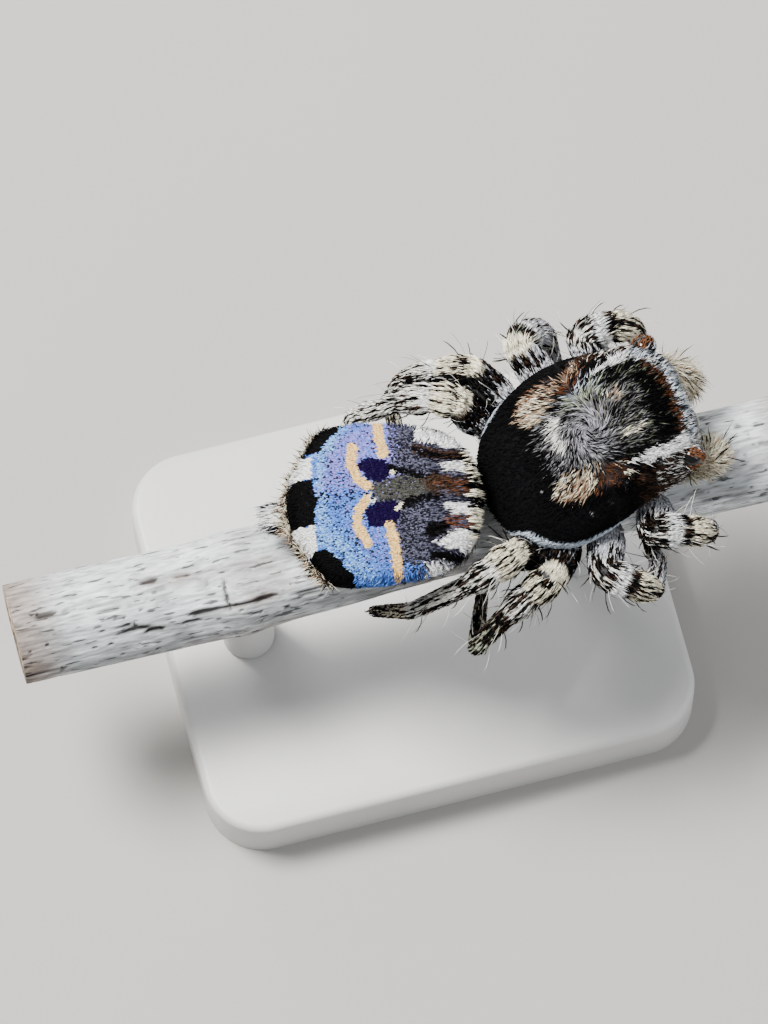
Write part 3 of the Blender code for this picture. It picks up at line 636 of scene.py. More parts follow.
@dataclass
class Tufts:
    """Many tufts of a coat, one row each: where they root, how they lie and what they look like."""

    root: Array
    out: Array
    lie: Array
    length: Array
    width: Array
    thick: Array
    lift: Array
    colour: Array
    patch: Array

    @staticmethod
    def joined(groups: Sequence["Tufts"]) -> "Tufts":
        """Put several groups of tufts together."""
        rows = ([getattr(group, part.name) for group in groups] for part in fields(Tufts))
        return Tufts(*map(np.concatenate, rows))

    def chosen(self, keep: Array) -> "Tufts":
        """Only the tufts that a mask keeps."""
        return Tufts(*(getattr(self, part.name)[keep] for part in fields(Tufts)))

    def tiled(self, row: int, rows: int) -> "Tufts":
        """Give a limb its own strip of the map, and return its tufts."""
        patch = self.patch * np.array((0.99, 0.96 / rows)) + np.array((0.004, (row + 0.01) / rows))
        return replace(self, patch=patch)

    def build(self, name: str, shares: tuple[float, ...] = (0.0, 0.5), full: tuple[float, ...] = (0.8, 1.0),
              root_shade: float = 0.72) -> bpy.types.Mesh:
        """Make one mesh of closed, flat, tapered tufts.

        Args:
            name: The mesh's name.
            shares: Where along each tuft its rings are, before its tip.
            full: How wide each ring is, as a share of the tuft's width.
            root_shade: How bright a root is beside its tip.

        Returns:
            The mesh, in millimetres, with its tint and its map of root patches.
        """
        count, per = len(self.root), 3 * len(shares) + 1
        lie = unit(self.lie - self.out * np.sum(self.lie * self.out, axis=1, keepdims=True))
        cross = np.cross(lie, self.out)
        places, tones = [], []
        for share, width in zip(shares, full):
            rise = self.lift * share * (1.7 - 0.7 * share) - (0.4 * self.thick if share == 0.0 else 0.0)
            centre = self.root + lie * (self.length * share)[:, None] + self.out * rise[:, None]
            half = cross * (0.5 * self.width * width)[:, None]
            ridge = self.out * (self.thick * (0.6 + 0.4 * width))[:, None]
            places += [centre - half, centre + ridge, centre + half]
            tones += [root_shade + (1.0 - root_shade) * share] * 3
        places.append(self.root + lie * self.length[:, None] + self.out * self.lift[:, None])
        tones.append(1.0)
        faces = [(0, 2, 1)]
        for ring in range(0, per - 4, 3):
            for low, high in ((ring, ring + 1), (ring + 1, ring + 2), (ring + 2, ring)):
                faces += [(low, high, high + 3), (low, high + 3, low + 3)]
        left, top, right, tip = per - 4, per - 3, per - 2, per - 1
        faces += [(left, top, tip), (top, right, tip), (right, left, tip)]
        corners = (np.array(faces)[None] + per * np.arange(count)[:, None, None]).reshape(-1)
        mesh = bpy.data.meshes.new(name)
        mesh.vertices.add(count * per)
        mesh.vertices.foreach_set("co", np.stack(places, axis=1).ravel())
        mesh.loops.add(len(corners))
        mesh.loops.foreach_set("vertex_index", corners)
        mesh.polygons.add(len(corners) // 3)
        mesh.polygons.foreach_set("loop_start", np.arange(0, len(corners), 3))
        mesh.polygons.foreach_set("loop_total", np.full(len(corners) // 3, 3))
        mesh.update(calc_edges=True)
        paint(mesh, (self.colour[:, None, :] * np.array(tones)[None, :, None]).reshape(-1, 3))
        sides = [(i % 3 - 1) * 0.5 for i in range(per - 1)] + [0.0]
        reach = [shares[i // 3] for i in range(per - 1)] + [1.0]
        local = np.stack((sides, reach), axis=1) * PATCH
        maps = (self.patch[:, None, :] * 0.99 + 0.004 + local[None]).reshape(-1, 2)[corners]
        mesh.uv_layers.new(name="OFBake").data.foreach_set("uv", maps.astype(np.float32).ravel())
        return mesh


@dataclass(frozen=True)
class Style:
    """How the tufts of one part of the coat look, in millimetres."""

    length: float
    width: float
    thick: float
    lift: float
    vary: float = 0.25
    stray: float = 0.25
    tilt: float = 0.08

    def grow(self, roots: Roots, lie: Array, colour: Array, rng: np.random.Generator,
             scale: Array | float = 1.0) -> Tufts:
        """Grow tufts.

        Args:
            roots: Where they root.
            lie: Which way they lie, one way for all or one each.
            colour: Their colours.
            rng: The seeded source of random draws.
            scale: Longer or shorter tufts, one number or one each.

        Returns:
            The tufts.
        """
        count = len(roots.place)
        ways = unit(np.broadcast_to(lie, (count, 3)))
        ways = ways + np.cross(roots.out, ways) * rng.normal(0.0, self.stray, count)[:, None]
        out = unit(roots.out + rng.normal(0.0, self.tilt, (count, 3)))
        length = self.length * np.clip(rng.normal(1.0, self.vary, count), 0.4, 1.8) * scale
        width = self.width * np.clip(rng.normal(1.0, self.vary, count), 0.5, 1.6)
        lift = self.lift * np.clip(rng.normal(1.0, 2.0 * self.vary, count), 0.1, 2.2) * scale
        return Tufts(roots.place, out, ways, length, width, np.full(count, self.thick), lift, colour,
                     roots.patch)


@dataclass(frozen=True)
class Mark:
    """One marking: an outline, or a stroke or dot where it has a width, and who carries it.

    Its points, width and soft edge are in hundredths of a millimetre.
    """

    colour: Colour
    points: tuple[tuple[float, float], ...]
    width: float = 0.0
    share: float = 1.0
    soft: float = 1.0

    def cover(self, where: Array) -> Array:
        """Say how far places lie in the marking, from 0 outside to 1 inside."""
        points, reach, soft = np.array(self.points) / 100.0, self.width / 200.0, self.soft / 100.0
        closed = self.width == 0.0
        ends = np.roll(points, -1, axis=0) if closed or len(points) == 1 else points[1:]
        nearest = np.full(len(where), np.inf)
        inside = np.zeros(len(where), dtype=bool)
        for start, end in zip(points, ends):
            way = end - start
            share = np.clip((where - start) @ way / max(way @ way, 1e-12), 0.0, 1.0)
            nearest = np.minimum(nearest, np.linalg.norm(where - start - share[:, None] * way, axis=1))
            crosses = (start[1] > where[:, 1]) != (end[1] > where[:, 1])
            slope = way[0] / (way[1] if way[1] else 1e-12)
            inside ^= crosses & (where[:, 0] < start[0] + (where[:, 1] - start[1]) * slope)
        depth = np.where(inside, nearest, -nearest) if closed else reach - nearest
        return ramp(depth, -soft, soft)


@dataclass(frozen=True)
class Pattern:
    """A body part's markings, laid over its ground colour in order."""

    ground: Colour
    marks: tuple[Mark, ...]
    wobble: float = 0.01

    def colours(self, where: Array, rng: np.random.Generator | None = None) -> Array:
        """Read the colours at places.

        Args:
            where: Rows of (forward, outward) in the part's own directions.
            rng: Draws which tufts carry a marking; none for a skin, which gets a mix.

        Returns:
            One colour for each row.
        """
        shift = np.stack([lattice_noise(where, 0.06, seed) for seed in (3, 5)], axis=1) - 0.5
        where = where + 2.0 * self.wobble * shift
        colours = plain(self.ground, len(where))
        for mark in self.marks:
            cover = mark.cover(where) * mark.share
            if rng is not None:
                cover = (rng.random(len(where)) < cover).astype(float)
            colours = blend(colours, mark.colour, cover)
        return colours


def uneven(colours: Array, rng: np.random.Generator, amount: float) -> Array:
    """Make each tuft a little lighter or darker than its neighbours."""
    return colours * np.clip(rng.normal(1.0, amount, len(colours)), 0.4, 1.5)[:, None]


def either(mask: Array, first: Colour, second: Colour | Array) -> Array:
    """Give each row one of two colours."""
    return np.where(mask[:, None], np.array(first), np.array(second))


def plain(colour: Colour, count: int) -> Array:
    """Give every row one colour."""
    return np.tile(np.array(colour), (count, 1))


@dataclass(frozen=True)
class Eye:
    """One pair of eyes: where they sit in the head, which way they look, and the hair round them."""

    name: str
    forward: float
    outward: float
    height: float
    radius: float
    gaze: tuple[float, float, float]
    opening: float
    hem: float
    rim: float = 0.05
    creep: float = 0.0

    def centre(self, side: Side) -> Array:
        """Middle of the lens."""
        return PROSOMA.place(self.forward, side.value * self.outward, self.height)

    def look(self, side: Side) -> Array:
        """The way the lens looks."""
        return unit(PROSOMA.way(self.gaze[0], side.value * self.gaze[1], self.gaze[2]))

    def near(self, points: Array, side: Side) -> tuple[Array, Array]:
        """Say how far places lie from the lens's middle, in radii, and how squarely before it."""
        away = points - self.centre(side)
        far = np.linalg.norm(away, axis=1)
        return far / self.radius, away @ self.look(side) / np.maximum(far, 1e-9)

    def bare(self, narrow: float) -> float:
        """How far round it stays bare, in radii: far for a large eye."""
        return WIDE_SOCKET if self.radius > LARGE_EYE else narrow


EYES = (
    Eye("front_middle", 2.03, 0.25, 1.35, 0.228, (1.0, 0.05, -0.05), 0.45, 0.0),
    Eye("front_side", 2.03, 0.62, 1.42, 0.113, (0.84, 0.52, 0.05), 0.35, 0.065, 0.0, 1.1),
    Eye("small", 1.68, 0.6, 1.59, 0.042, (0.0, 0.75, 0.65), 0.45, 0.05, 0.0),
    Eye("rear", 1.28, 0.645, 1.535, 0.083, (-0.05, 0.66, 0.75), 0.62, 0.06),
)


def open_sockets(points: Array) -> Array:
    """Press a shell's vertices in round each lens, so that the lens shows in a socket."""
    points = points.copy()
    for eye, side in itertools.product(EYES, Side):
        far, facing = eye.near(points, side)
        press = (far < eye.bare(NARROW_SOCKET)) & (facing > eye.opening)
        centre = eye.centre(side)
        share = SOCKET_DEPTH / np.maximum(far[press], SOCKET_DEPTH)
        points[press] = centre + (points[press] - centre) * share[:, None]
    return points


def clear_of_eyes(points: Array) -> Array:
    """Mask the places that no lens needs."""
    clear = np.ones(len(points), dtype=bool)
    for eye, side in itertools.product(EYES, Side):
        far, facing = eye.near(points, side)
        clear &= (far > NARROW_SOCKET) | (facing < eye.opening)
        clear &= (far > eye.bare(NARROW_CLEARING)) | (facing < eye.opening + CLEARING_EDGE)
    return clear


@dataclass
class Carapace:
    """The shield over the head end: its shell, its markings and its short coat."""

    length: float = 2.21
    margin: float = 0.92
    top: float = 1.75
    coat_depth: float = 0.02
    whorl: tuple[float, float] = (1.14, -0.05)
    hairs: int = 27000
    fringe_pool: int = 110000
    shade: float = 0.5
    seed: int = 11

    def surface(self) -> ShellSurface:
        """The shield's surface, under its coat."""
        half = Profile(((0, 0.14), (0.05, 0.36), (0.1, 0.48), (0.2, 0.62), (0.4, 0.78), (0.6, 0.87),
                        (0.8, 0.91), (1.0, 0.915), (1.25, 0.88), (1.5, 0.81), (1.9, 0.745), (2.05, 0.69),
                        (2.16, 0.53), (2.21, 0.28)))
        crown = Profile(((0, 0.2), (0.05, 0.26), (0.18, 0.42), (0.42, 0.62), (0.75, 0.82), (1.15, 0.96),
                         (1.6, 1.0), (1.9, 0.96), (2.08, 0.88), (2.17, 0.72), (2.21, 0.5)))
        return ShellSurface(
            body=PROSOMA, start=0.0, end=self.length, inset=self.coat_depth, half=half,
            level=crown.scaled(0.13, self.margin + 0.1),
            top=crown.scaled(self.top - self.margin, self.margin), bottom=level_profile(self.margin),
            square_low=3.2, square_top=Profile(((0, 2.0), (0.9, 2.15), (1.5, 2.7), (2.21, 3.0))),
            middle=Profile(((0, -0.14), (0.3, -0.12), (0.6, -0.11), (0.9, -0.065), (1.2, -0.02), (1.5, 0.0),
                            (2.21, 0.0))), closing=0.05)

    def pattern(self) -> Pattern:
        """The markings seen from above, as (forward, left) places."""
        arch = ((132, 43), (150, 45.5), (172, 48), (189, 44), (203, 24), (205, 0), (204, -22), (199, -40),
                (184, -44.5), (160, -45.5), (138, -47.5), (138, -50), (160, -57), (184, -57.5), (208, -55),
                (218, -40), (218, -18), (216, 11), (210, 36), (196, 55), (180, 58.5), (160, 56.5), (140, 49))
        brow = ((180, 62), (178, 48), (189, 44), (203, 24), (205, 0), (204, -22), (200, -38), (202, -60),
                (230, -60), (230, 62))
        swirl = (0.34, 0.33, 0.37)
        return Pattern(VELVET, (
            Mark(OLIVE, ((120, 38), (190, 42), (200, 10), (200, -35), (140, -44)), share=0.2, soft=10),
            # The soft grey and ash patches on the crown are partly its own grey hair and partly a painted
            # silvery sheen on the black velvet.
            Mark(GREY, ((66, 26), (120, 34), (170, 30), (170, -30), (120, -40), (70, -34)), share=0.4,
                 soft=12),
            Mark(ASH, ((76, 26), (100, 34), (136, 20), (136, -20), (120, -36), (82, -32)), share=0.2,
                 soft=12),
            Mark(swirl, ((114, -5),), width=40, share=0.34, soft=10),
            Mark(PALE, ((93, 19), (88, 11), (85, 3), (86, -8)), width=8.5, share=0.85, soft=4),
            Mark(TAN, ((56, 38), (66, 26), (78, 22), (104, 42), (110, 56), (90, 60), (68, 56)), share=0.62,
                 soft=5),
            Mark(CREAM, ((60, 38), (68, 28), (78, 24), (98, 42), (90, 54), (70, 50)), share=0.4, soft=5),
            Mark(RUST, ((62, 50), (84, 40), (108, 46), (104, 64), (80, 60)), share=0.22, soft=5),
            Mark(RUST, ((104, 43), (112, 37), (132, 50), (134, 64), (120, 66)), share=0.5, soft=4),
            Mark(INK, ((80, 42), (112, 34), (134, 46), (134, 66), (100, 66)), share=0.3, soft=4),
            Mark(TAN, ((106, 46), (130, 54), (130, 62), (114, 60)), share=0.4, soft=4),
            Mark(SAGE, ((100, 24), (114, 16), (140, 24), (142, 36), (115, 30)), share=0.4, soft=4),
            Mark(BLACK, ((120, 66), (133, 68)), width=9, share=0.7, soft=3),
            Mark(TAN, ((64, -40), (88, -34), (110, -40), (116, -60), (84, -64), (62, -54)), share=0.55,
                 soft=4),
            Mark(CREAM, ((64, -40), (88, -34), (114, -40), (112, -58), (86, -62), (62, -52)), share=0.34,
                 soft=4),
            Mark(RUST, ((70, -52), (90, -46), (110, -48), (106, -64), (80, -62)), share=0.18, soft=4),
            Mark(RUST, ((108, -44), (128, -50), (124, -64), (106, -62)), share=0.6, soft=3),
            Mark(INK, ((104, -42), (130, -46), (128, -66), (104, -62)), share=0.48, soft=3),
            Mark(CREAM, ((106, -42), (126, -46), (124, -60), (106, -60)), share=0.07, soft=3),
            Mark(CREAM, ((129, -50), (134, -56)), width=7, share=0.7, soft=3),
            Mark(BROWN, ((136, -60), (205, -56), (206, -80), (140, -84)), share=0.5, soft=5),
            Mark(PALE, ((150, -62), (205, -58), (205, -74), (156, -76)), share=0.2, soft=5),
            Mark(BROWN, ((130, 62), (205, 56), (206, 80), (140, 84)), share=0.6, soft=5),
            Mark(PALE, ((140, 62), (205, 58), (205, 76), (145, 80)), share=0.3, soft=5),
            Mark(FROST, ((112, 32), (124, 38), (136, 36)), width=10, share=0.3, soft=5),
            Mark(TAN, ((142, 16), (152, 16)), width=8, share=0.35, soft=4),
            Mark(CREAM, ((144, 16), (154, 17)), width=6, share=0.5, soft=3),
            Mark(CREAM, ((140, -25), (160, -21)), width=5, share=0.62, soft=3),
            Mark(BLACK, ((170, 32), (194, 28), (196, -32), (174, -38)), share=0.85, soft=6),
            Mark(UMBER, ((186, 42), (197.5, 24), (199.5, 0), (199, -24), (195, -41)), width=6, share=0.6,
                 soft=1.5),
            Mark(BLACK, ((190, 90), (250, 90), (250, -90), (210, -90), (220, -38), (208, 20)), share=0.45,
                 soft=4),
            Mark(RUST, ((190, 42), (200.5, 23), (202, 0), (201.5, -24), (197, -41)), width=2.5, share=0.6,
                 soft=1),
            Mark(WHITE, arch, share=0.95, soft=1.8),
            # The frost-blue wash over the brow and along the front edge is partly the white hairs' own
            # bluish tint and partly a painted blue-green sheen.
            Mark(FROST, brow, share=0.5, soft=1.5),
            Mark(INK, brow, share=0.2, soft=1.5),
            Mark(FROST, ((214, 44), (220, 20), (222, -10), (226, -40)), width=10, share=0.45, soft=4),
            Mark(AUBURN, ((202, 66),), width=20, share=0.75, soft=3),
            Mark(AUBURN, ((207, -67),), width=24, share=0.88, soft=3),
            Mark(INK, ((113, -50), (123, -54)), width=17, share=0.85, soft=2),
            Mark(UMBER, ((113, -50), (123, -54)), width=17, share=0.55, soft=2),
            Mark(WHITE, ((88, -80),), width=3, share=0.5, soft=1),
            Mark(WHITE, ((50, -41),), width=2.4, share=0.5, soft=1),
            Mark(WHITE, ((110, -78),), width=3, share=0.5, soft=1),
        ))

    def side_band(self, local: Array) -> Array:
        """Say how far places lie in the pale band that hems the shield's sides."""
        lift = 0.28 * ramp(np.abs(local[:, 1] + 0.06), 0.36, 0.64) * ramp(local[:, 0], 1.6, 0.95)
        edge = self.margin + lift
        return ramp(local[:, 2], edge + 0.012, edge - 0.012) * ramp(local[:, 0], 0.02, 0.1)

    def colours(self, points: Array, rng: np.random.Generator | None = None) -> Array:
        """Colours of skin or tufts at room places.

        Args:
            points: Places on the shield.
            rng: Draws which tufts carry a marking.

        Returns:
            One colour for each place.
        """
        local = PROSOMA.local(points)
        colours = blend(self.pattern().colours(local[:, :2], rng), FROST, self.side_band(local))
        return blend(colours, PALE, ramp(local[:, 0], 2.02, 2.1) * ramp(local[:, 2], 1.24, 1.12))

    def flow(self, local: Array) -> Array:
        """The lie of the coat: out of a whorl behind the eyes, then along the body."""
        away = local[:, :2] - np.array(self.whorl)
        far = np.maximum(np.linalg.norm(away, axis=1, keepdims=True), 1e-6)
        turn = np.stack((-away[:, 1], away[:, 0]), axis=1) / far
        twist = np.exp(-((far / 0.34) ** 2))
        flow = away / far * (1.0 - 0.9 * twist) + turn * 1.4 * twist
        flow[:, 0] += np.sign(away[:, 0]) * 0.9 * (1.0 - twist[:, 0])
        return PROSOMA.way(flow[:, 0], flow[:, 1], -0.5 * ramp(local[:, 2], 1.5, 1.1))

    def build(self, shop: Workshop) -> None:
        """Build and dress the shield.

        Args:
            shop: Keeps the pieces.
        """
        rng = np.random.default_rng(self.seed)
        shell = self.surface()
        mesh = mesh_from(wrap(shell, 192, 160), "carapace_shell")
        paint(mesh, self.colours(vertex_places(mesh)) * self.shade)
        set_places(mesh, open_sockets(vertex_places(mesh)))
        shop.keep(mesh, Slot.SHIELD, shop.finishes.shield, ("carapace",))
        roots = shell.scatter(self.hairs, rng)
        roots = roots.chosen(clear_of_eyes(roots.place))
        local = PROSOMA.local(roots.place)
        smooth = np.maximum(ramp(local[:, 0], 0.85, 0.35), ramp(np.abs(local[:, 1] + 0.03), 0.6, 0.72))
        smooth *= ramp(local[:, 0], 1.5, 1.25)
        style = Style(length=0.112, width=0.0105, thick=0.0045, lift=0.011, stray=0.3, tilt=0.05)
        coat = style.grow(roots, self.flow(local), uneven(self.colours(roots.place, rng), rng, 0.22), rng,
                          1.0 - 0.5 * smooth)
        coat.lift *= 1.0 - 0.75 * smooth
        for side in Side:
            half = coat.chosen(local[:, 1] * side.value > 0)
            shop.keep(half.build(f"carapace_coat_{side.name.lower()}"), Slot.SHIELD, shop.finishes.hair)
        self.fringe(shop, shell, rng)

    def fringe(self, shop: Workshop, shell: ShellSurface, rng: np.random.Generator) -> None:
        """Grow the lashes over the front eyes and the fringe that hangs over the jaws.

        Args:
            shop: Keeps the pieces.
            shell: The shield's surface.
            rng: The seeded source of random draws.
        """
        pool = shell.scatter(self.fringe_pool, rng)
        forward, outward, height = PROSOMA.local(pool.place).T
        front = PROSOMA.way(1.0, 0.0, 0.0)
        between = ramp(np.abs(outward), 0.56, 0.48)
        brow = pool.thinned(ramp(forward, 2.045, 2.075) * ramp(height, 1.47, 1.52) * between * 0.36, rng)
        brow.out = unit(0.25 * brow.out + np.array((0.0, 0.0, 1.0)))
        draw = rng.random(len(brow.place))
        dark = draw < ramp(lattice_noise(PROSOMA.local(brow.place), 0.032, 5), 0.62, 0.3) * 0.85
        tint = either(dark, INK, either(draw < 0.8, FROST, WHITE))
        lash = Style(length=0.085, width=0.0105, thick=0.0045, lift=0.012, stray=0.25, vary=0.3)
        parts = [lash.grow(brow, front - np.array((0.0, 0.0, 0.3)), uneven(tint, rng, 0.2), rng)]
        face = pool.thinned(ramp(forward, 2.06, 2.12) * ramp(height, 1.24, 1.16) * 0.27, rng)
        face = face.chosen(clear_of_eyes(face.place))
        down = front - np.array((0.0, 0.0, 2.5))
        tint = uneven(self.colours(face.place, rng), rng, 0.15)
        parts.append(replace(lash, length=0.17, lift=0.03).grow(face, down, tint, rng))
        for eye, side in itertools.product(EYES[1:], Side):
            parts.append(self.collar(pool, eye, side, rng))
        coat = Tufts.joined(parts)
        shop.keep(coat.build("brow_and_face_fringe"), Slot.SHIELD, shop.finishes.hair)

    def collar(self, pool: Roots, eye: Eye, side: Side, rng: np.random.Generator) -> Tufts:
        """Grow the hairs that close in round one of the side eyes.

        Args:
            pool: Places on the shield.
            eye: Which pair of eyes.
            side: Which one of the pair.
            rng: The seeded source of random draws.

        Returns:
            The hairs.
        """
        far, facing = eye.near(pool.place, side)
        upper = pool.place[:, 2] > eye.centre(side)[2] - 0.2 * eye.radius
        reach = 1.0 + 0.045 / eye.radius
        ring = pool.chosen((far < reach) & (facing < eye.opening + 0.12) & (facing > -0.6) & upper)
        ring.out = unit(ring.place - eye.centre(side))
        if eye.creep > 0.0:
            creep = rng.random((len(ring.place), 1)) * eye.creep * (1.0 + (ring.out[:, 2:] > 0.1))
            ring.out = unit(ring.out + creep * eye.look(side))
            ring.place = eye.centre(side) + ring.out * eye.radius
        tint = uneven(self.colours(ring.place, rng), rng, 0.2)
        style = Style(length=eye.hem, width=0.0095, thick=0.004, lift=0.004, stray=0.4)
        return style.grow(ring, eye.look(side), tint, rng)


ABDOMEN_SHAPE = Profile(((-0.97, 0.1), (-0.92, 0.36), (-0.78, 0.66), (-0.52, 0.95), (-0.2, 1.0), (0.3, 0.98),
                         (0.66, 0.92), (0.86, 0.78), (0.94, 0.5), (0.97, 0.2)))
PLATE_SHAPE = Profile(((-0.97, 0.14), (-0.955, 0.34), (-0.9, 0.5), (-0.82, 0.63), (-0.7, 0.85), (-0.6, 0.97),
                       (-0.48, 1.0), (-0.2, 0.99), (0.1, 0.965), (0.5, 0.91), (0.7, 0.83), (0.84, 0.7),
                       (0.93, 0.48), (0.97, 0.22)))


@dataclass
class FanPlate:
    """The flat plate on the abdomen that carries the coloured scales."""

    reach: float = 0.97
    half_width: float = 0.855
    offset: float = -0.04
    top: float = 1.56
    low: float = 1.02
    level: float = 1.2
    coat_depth: float = 0.014
    scale_count: int = 34000
    brush_count: int = 22000
    fringe_pool: int = 40000
    shade: float = 0.85
    seed: int = 23

    def surface(self) -> ShellSurface:
        """The plate's surface, under its scales."""
        return ShellSurface(
            body=ABDOMEN, start=-self.reach, end=self.reach, inset=self.coat_depth,
            middle=level_profile(self.offset), half=PLATE_SHAPE.scaled(self.half_width),
            level=level_profile(self.level),
            top=PLATE_SHAPE.raised(0.4).scaled(self.top - self.level, self.level),
            bottom=level_profile(self.low), square_top=level_profile(3.0), square_low=3.0)

    def pattern(self) -> Pattern:
        """The markings seen from above, as (forward, left) places."""
        azure, lilac, sky = (0.095, 0.24, 0.76), (0.26, 0.245, 0.71), (0.25, 0.52, 0.96)
        violet, slate, moss = (0.006, 0.001, 0.03), (0.11, 0.112, 0.165), (0.06, 0.06, 0.05)
        blue_zone = ((-120, 110), (10, 110), (9, 66), (7, 35), (-9, 15), (-11, -9), (6, -40), (11, -50),
                     (9, -84), (9, -110), (-120, -110))
        return Pattern((0.012, 0.012, 0.018), (
            Mark(slate, ((-20, 100), (90, 100), (90, -100), (-20, -100)), share=0.45, soft=5),
            Mark(azure, ((10, -70), (55, -78), (55, -100), (10, -100)), share=0.5, soft=6),
            Mark(azure, blue_zone),
            Mark(lilac, ((-55, 55), (-20, 78), (10, 75), (10, 10), (-65, 0)), share=0.8, soft=14),
            Mark(lilac, ((-45, -10), (10, -30), (5, -70), (-20, -75)), share=0.35, soft=12),
            Mark(sky, ((-70, 50), (-42, 80), (-30, 76), (-60, 30)), share=0.7, soft=5),
            Mark(sky, ((-70, -30), (-62, -50), (-28, -86), (-10, -82), (-50, -30)), share=0.5, soft=8),
            Mark(sky, ((-66, 35), (-66, -50), (-58, -50), (-56, 35)), share=0.6, soft=5),
            Mark(INK, blue_zone, share=0.15),
            Mark(INK, ((-62, 0), (-20, -5), (-10, -50), (8, -60), (5, -80), (-40, -60)), share=0.16,
                 soft=10),
            Mark(BLACK, ((-66, 2), (-35, -1), (-10, -2)), width=6, share=0.45, soft=3),
            Mark(violet, ((-24, 30), (-14, 38), (6, 33), (12, 22), (-2, 10), (-14, 14))),
            Mark(violet, ((-18, -16), (-8, -10), (12, -10), (18, -22), (6, -38), (-18, -36))),
            Mark(moss, ((-16, 5), (0, 12), (30, 16), (50, 10), (52, -2), (20, -10), (-2, -8)), share=0.85,
                 soft=2),
            Mark(BLACK, ((11, 25), (34, 16), (58, 10)), width=7.5, share=0.9, soft=2),
            Mark(BLACK, ((16, -16), (32, -10), (52, -6)), width=8.5, share=0.9, soft=2),
            Mark(AMBER, ((-1, 74), (0, 55), (3, 40)), width=10.5, soft=0.6),
            Mark(AMBER, ((5, -36), (8, -50), (10, -78)), width=10.5, soft=0.6),
            Mark(AMBER, ((-27, 50), (-30, 32), (-24, 15), (-15, 7)), width=10, soft=0.6),
            Mark(AMBER, ((-16, -6), (-25, -18), (-28, -33), (-22, -46), (-18, -53)), width=9, soft=0.6),
            Mark(CREAM, ((12, 20),), width=5.5),
            Mark(CREAM, ((17, -15), (14, -19)), width=4.5),
            Mark(PALE, ((-10, -8),), width=6, share=0.8),
            Mark(BLACK, ((-95, 47), (-61, 47), (-56, 55), (-35, 76), (-33, 100), (-120, 100)), soft=0.5),
            Mark(BLACK, ((-120, 20), (-68, 20), (-66, -2), (-69, -28), (-120, -28)), soft=0.5),
            Mark(BLACK, ((-120, -55), (-58, -54), (-44, -70), (-27, -87), (-30, -110), (-120, -110)),
                 soft=0.5),
            Mark(WHITE, ((-120, 20.5), (-70, 20.5), (-69, 44), (-84, 47), (-120, 47)), soft=0.8),
            Mark(WHITE, ((-120, -28.5), (-70, -28), (-68, -54), (-84, -55), (-120, -55)), soft=0.8),
            Mark(BROWN, ((36, 44), (52, 36), (80, 36)), width=11, share=0.8, soft=2),
            Mark(BLACK, ((36, 44), (50, 36), (76, 34)), width=8, share=0.8, soft=2),
            Mark(BROWN, ((50, 7), (66, 4), (84, 3)), width=19, share=0.7, soft=4),
            Mark(RUST, ((55, 6), (66, 4), (84, 3)), width=12, share=0.28, soft=4),
            Mark(BLACK, ((38, -47), (40, -38), (50, -33), (62, -36), (58, -46), (46, -50))),
            Mark(RUST, ((60, -32), (74, -34), (84, -32)), width=11, share=0.45, soft=3),
            Mark(WHITE, ((46, 54), (56, 59), (86, 54), (88, 46), (60, 44)), soft=1.5),
            Mark(WHITE, ((55, 26), (78, 30), (80, 19), (60, 19)), soft=2.5),
            Mark(WHITE, ((56, -15), (86, -12), (90, -25), (66, -26)), soft=2),
            Mark(WHITE, ((46, -54), (66, -41), (90, -39), (90, -60), (56, -60)), soft=1.5),
            Mark(WHITE, ((38, 71), (69, 68)), width=9, soft=2),
            Mark(WHITE, ((42, -77), (71, -75)), width=10, share=0.85, soft=3),
            Mark(BLACK, ((38, 61.5), (74, 61)), width=5, share=0.97),
            Mark(BLACK, ((46, -66), (80, -67)), width=6.5, share=0.97),
            Mark(CREAM, ((72, 68), (86, 45), (91, 10), (93, -20), (90, -55)), width=10, share=0.5, soft=3),
        ), wobble=0.008)

    def build(self, shop: Workshop) -> None:
        """Build and dress the plate.

        Args:
            shop: Keeps the pieces.
        """
        rng = np.random.default_rng(self.seed)
        pattern = self.pattern()
        shell = self.surface()
        mesh = mesh_from(wrap(shell, 288, 240), "fan_plate_shell")
        paint(mesh, pattern.colours(ABDOMEN.local(vertex_places(mesh))[:, :2]) * self.shade)
        shop.keep(mesh, Slot.PLATE, shop.finishes.plate, ("fan_plate",))
        scale = Style(length=0.032, width=0.019, thick=0.0025, lift=0.004, vary=0.2, stray=0.25, tilt=0.05)
        brush = Style(length=0.06, width=0.0105, thick=0.004, lift=0.007, vary=0.25, stray=0.1, tilt=0.05)
        roots = shell.scatter(self.scale_count, rng)
        roots = roots.thinned(ramp(ABDOMEN.local(roots.place)[:, 0], 0.56, 0.4), rng)
        local = ABDOMEN.local(roots.place)
        tint = uneven(pattern.colours(local[:, :2], rng), rng, 0.12)
        scales = scale.grow(roots, ABDOMEN.way(-1.0, 0.0, -0.15), tint, rng)
        for side in Side:
            half = scales.chosen((local[:, 1] - self.offset) * side.value > 0)
            shop.keep(half.build(f"fan_plate_scales_{side.name.lower()}"), Slot.PLATE, shop.finishes.scales)
        roots = shell.scatter(self.brush_count, rng)
        roots = roots.thinned(ramp(ABDOMEN.local(roots.place)[:, 0], 0.36, 0.5), rng)
        local = ABDOMEN.local(roots.place)
        tint = uneven(pattern.colours(local[:, :2], rng), rng, 0.12)
        brushes = brush.grow(roots, ABDOMEN.way(1.0, 0.0, -0.25), tint, rng)
        shop.keep(brushes.build("fan_plate_front_brushes"), Slot.PLATE, shop.finishes.hair)
        self.fringe(shop, shell, rng)

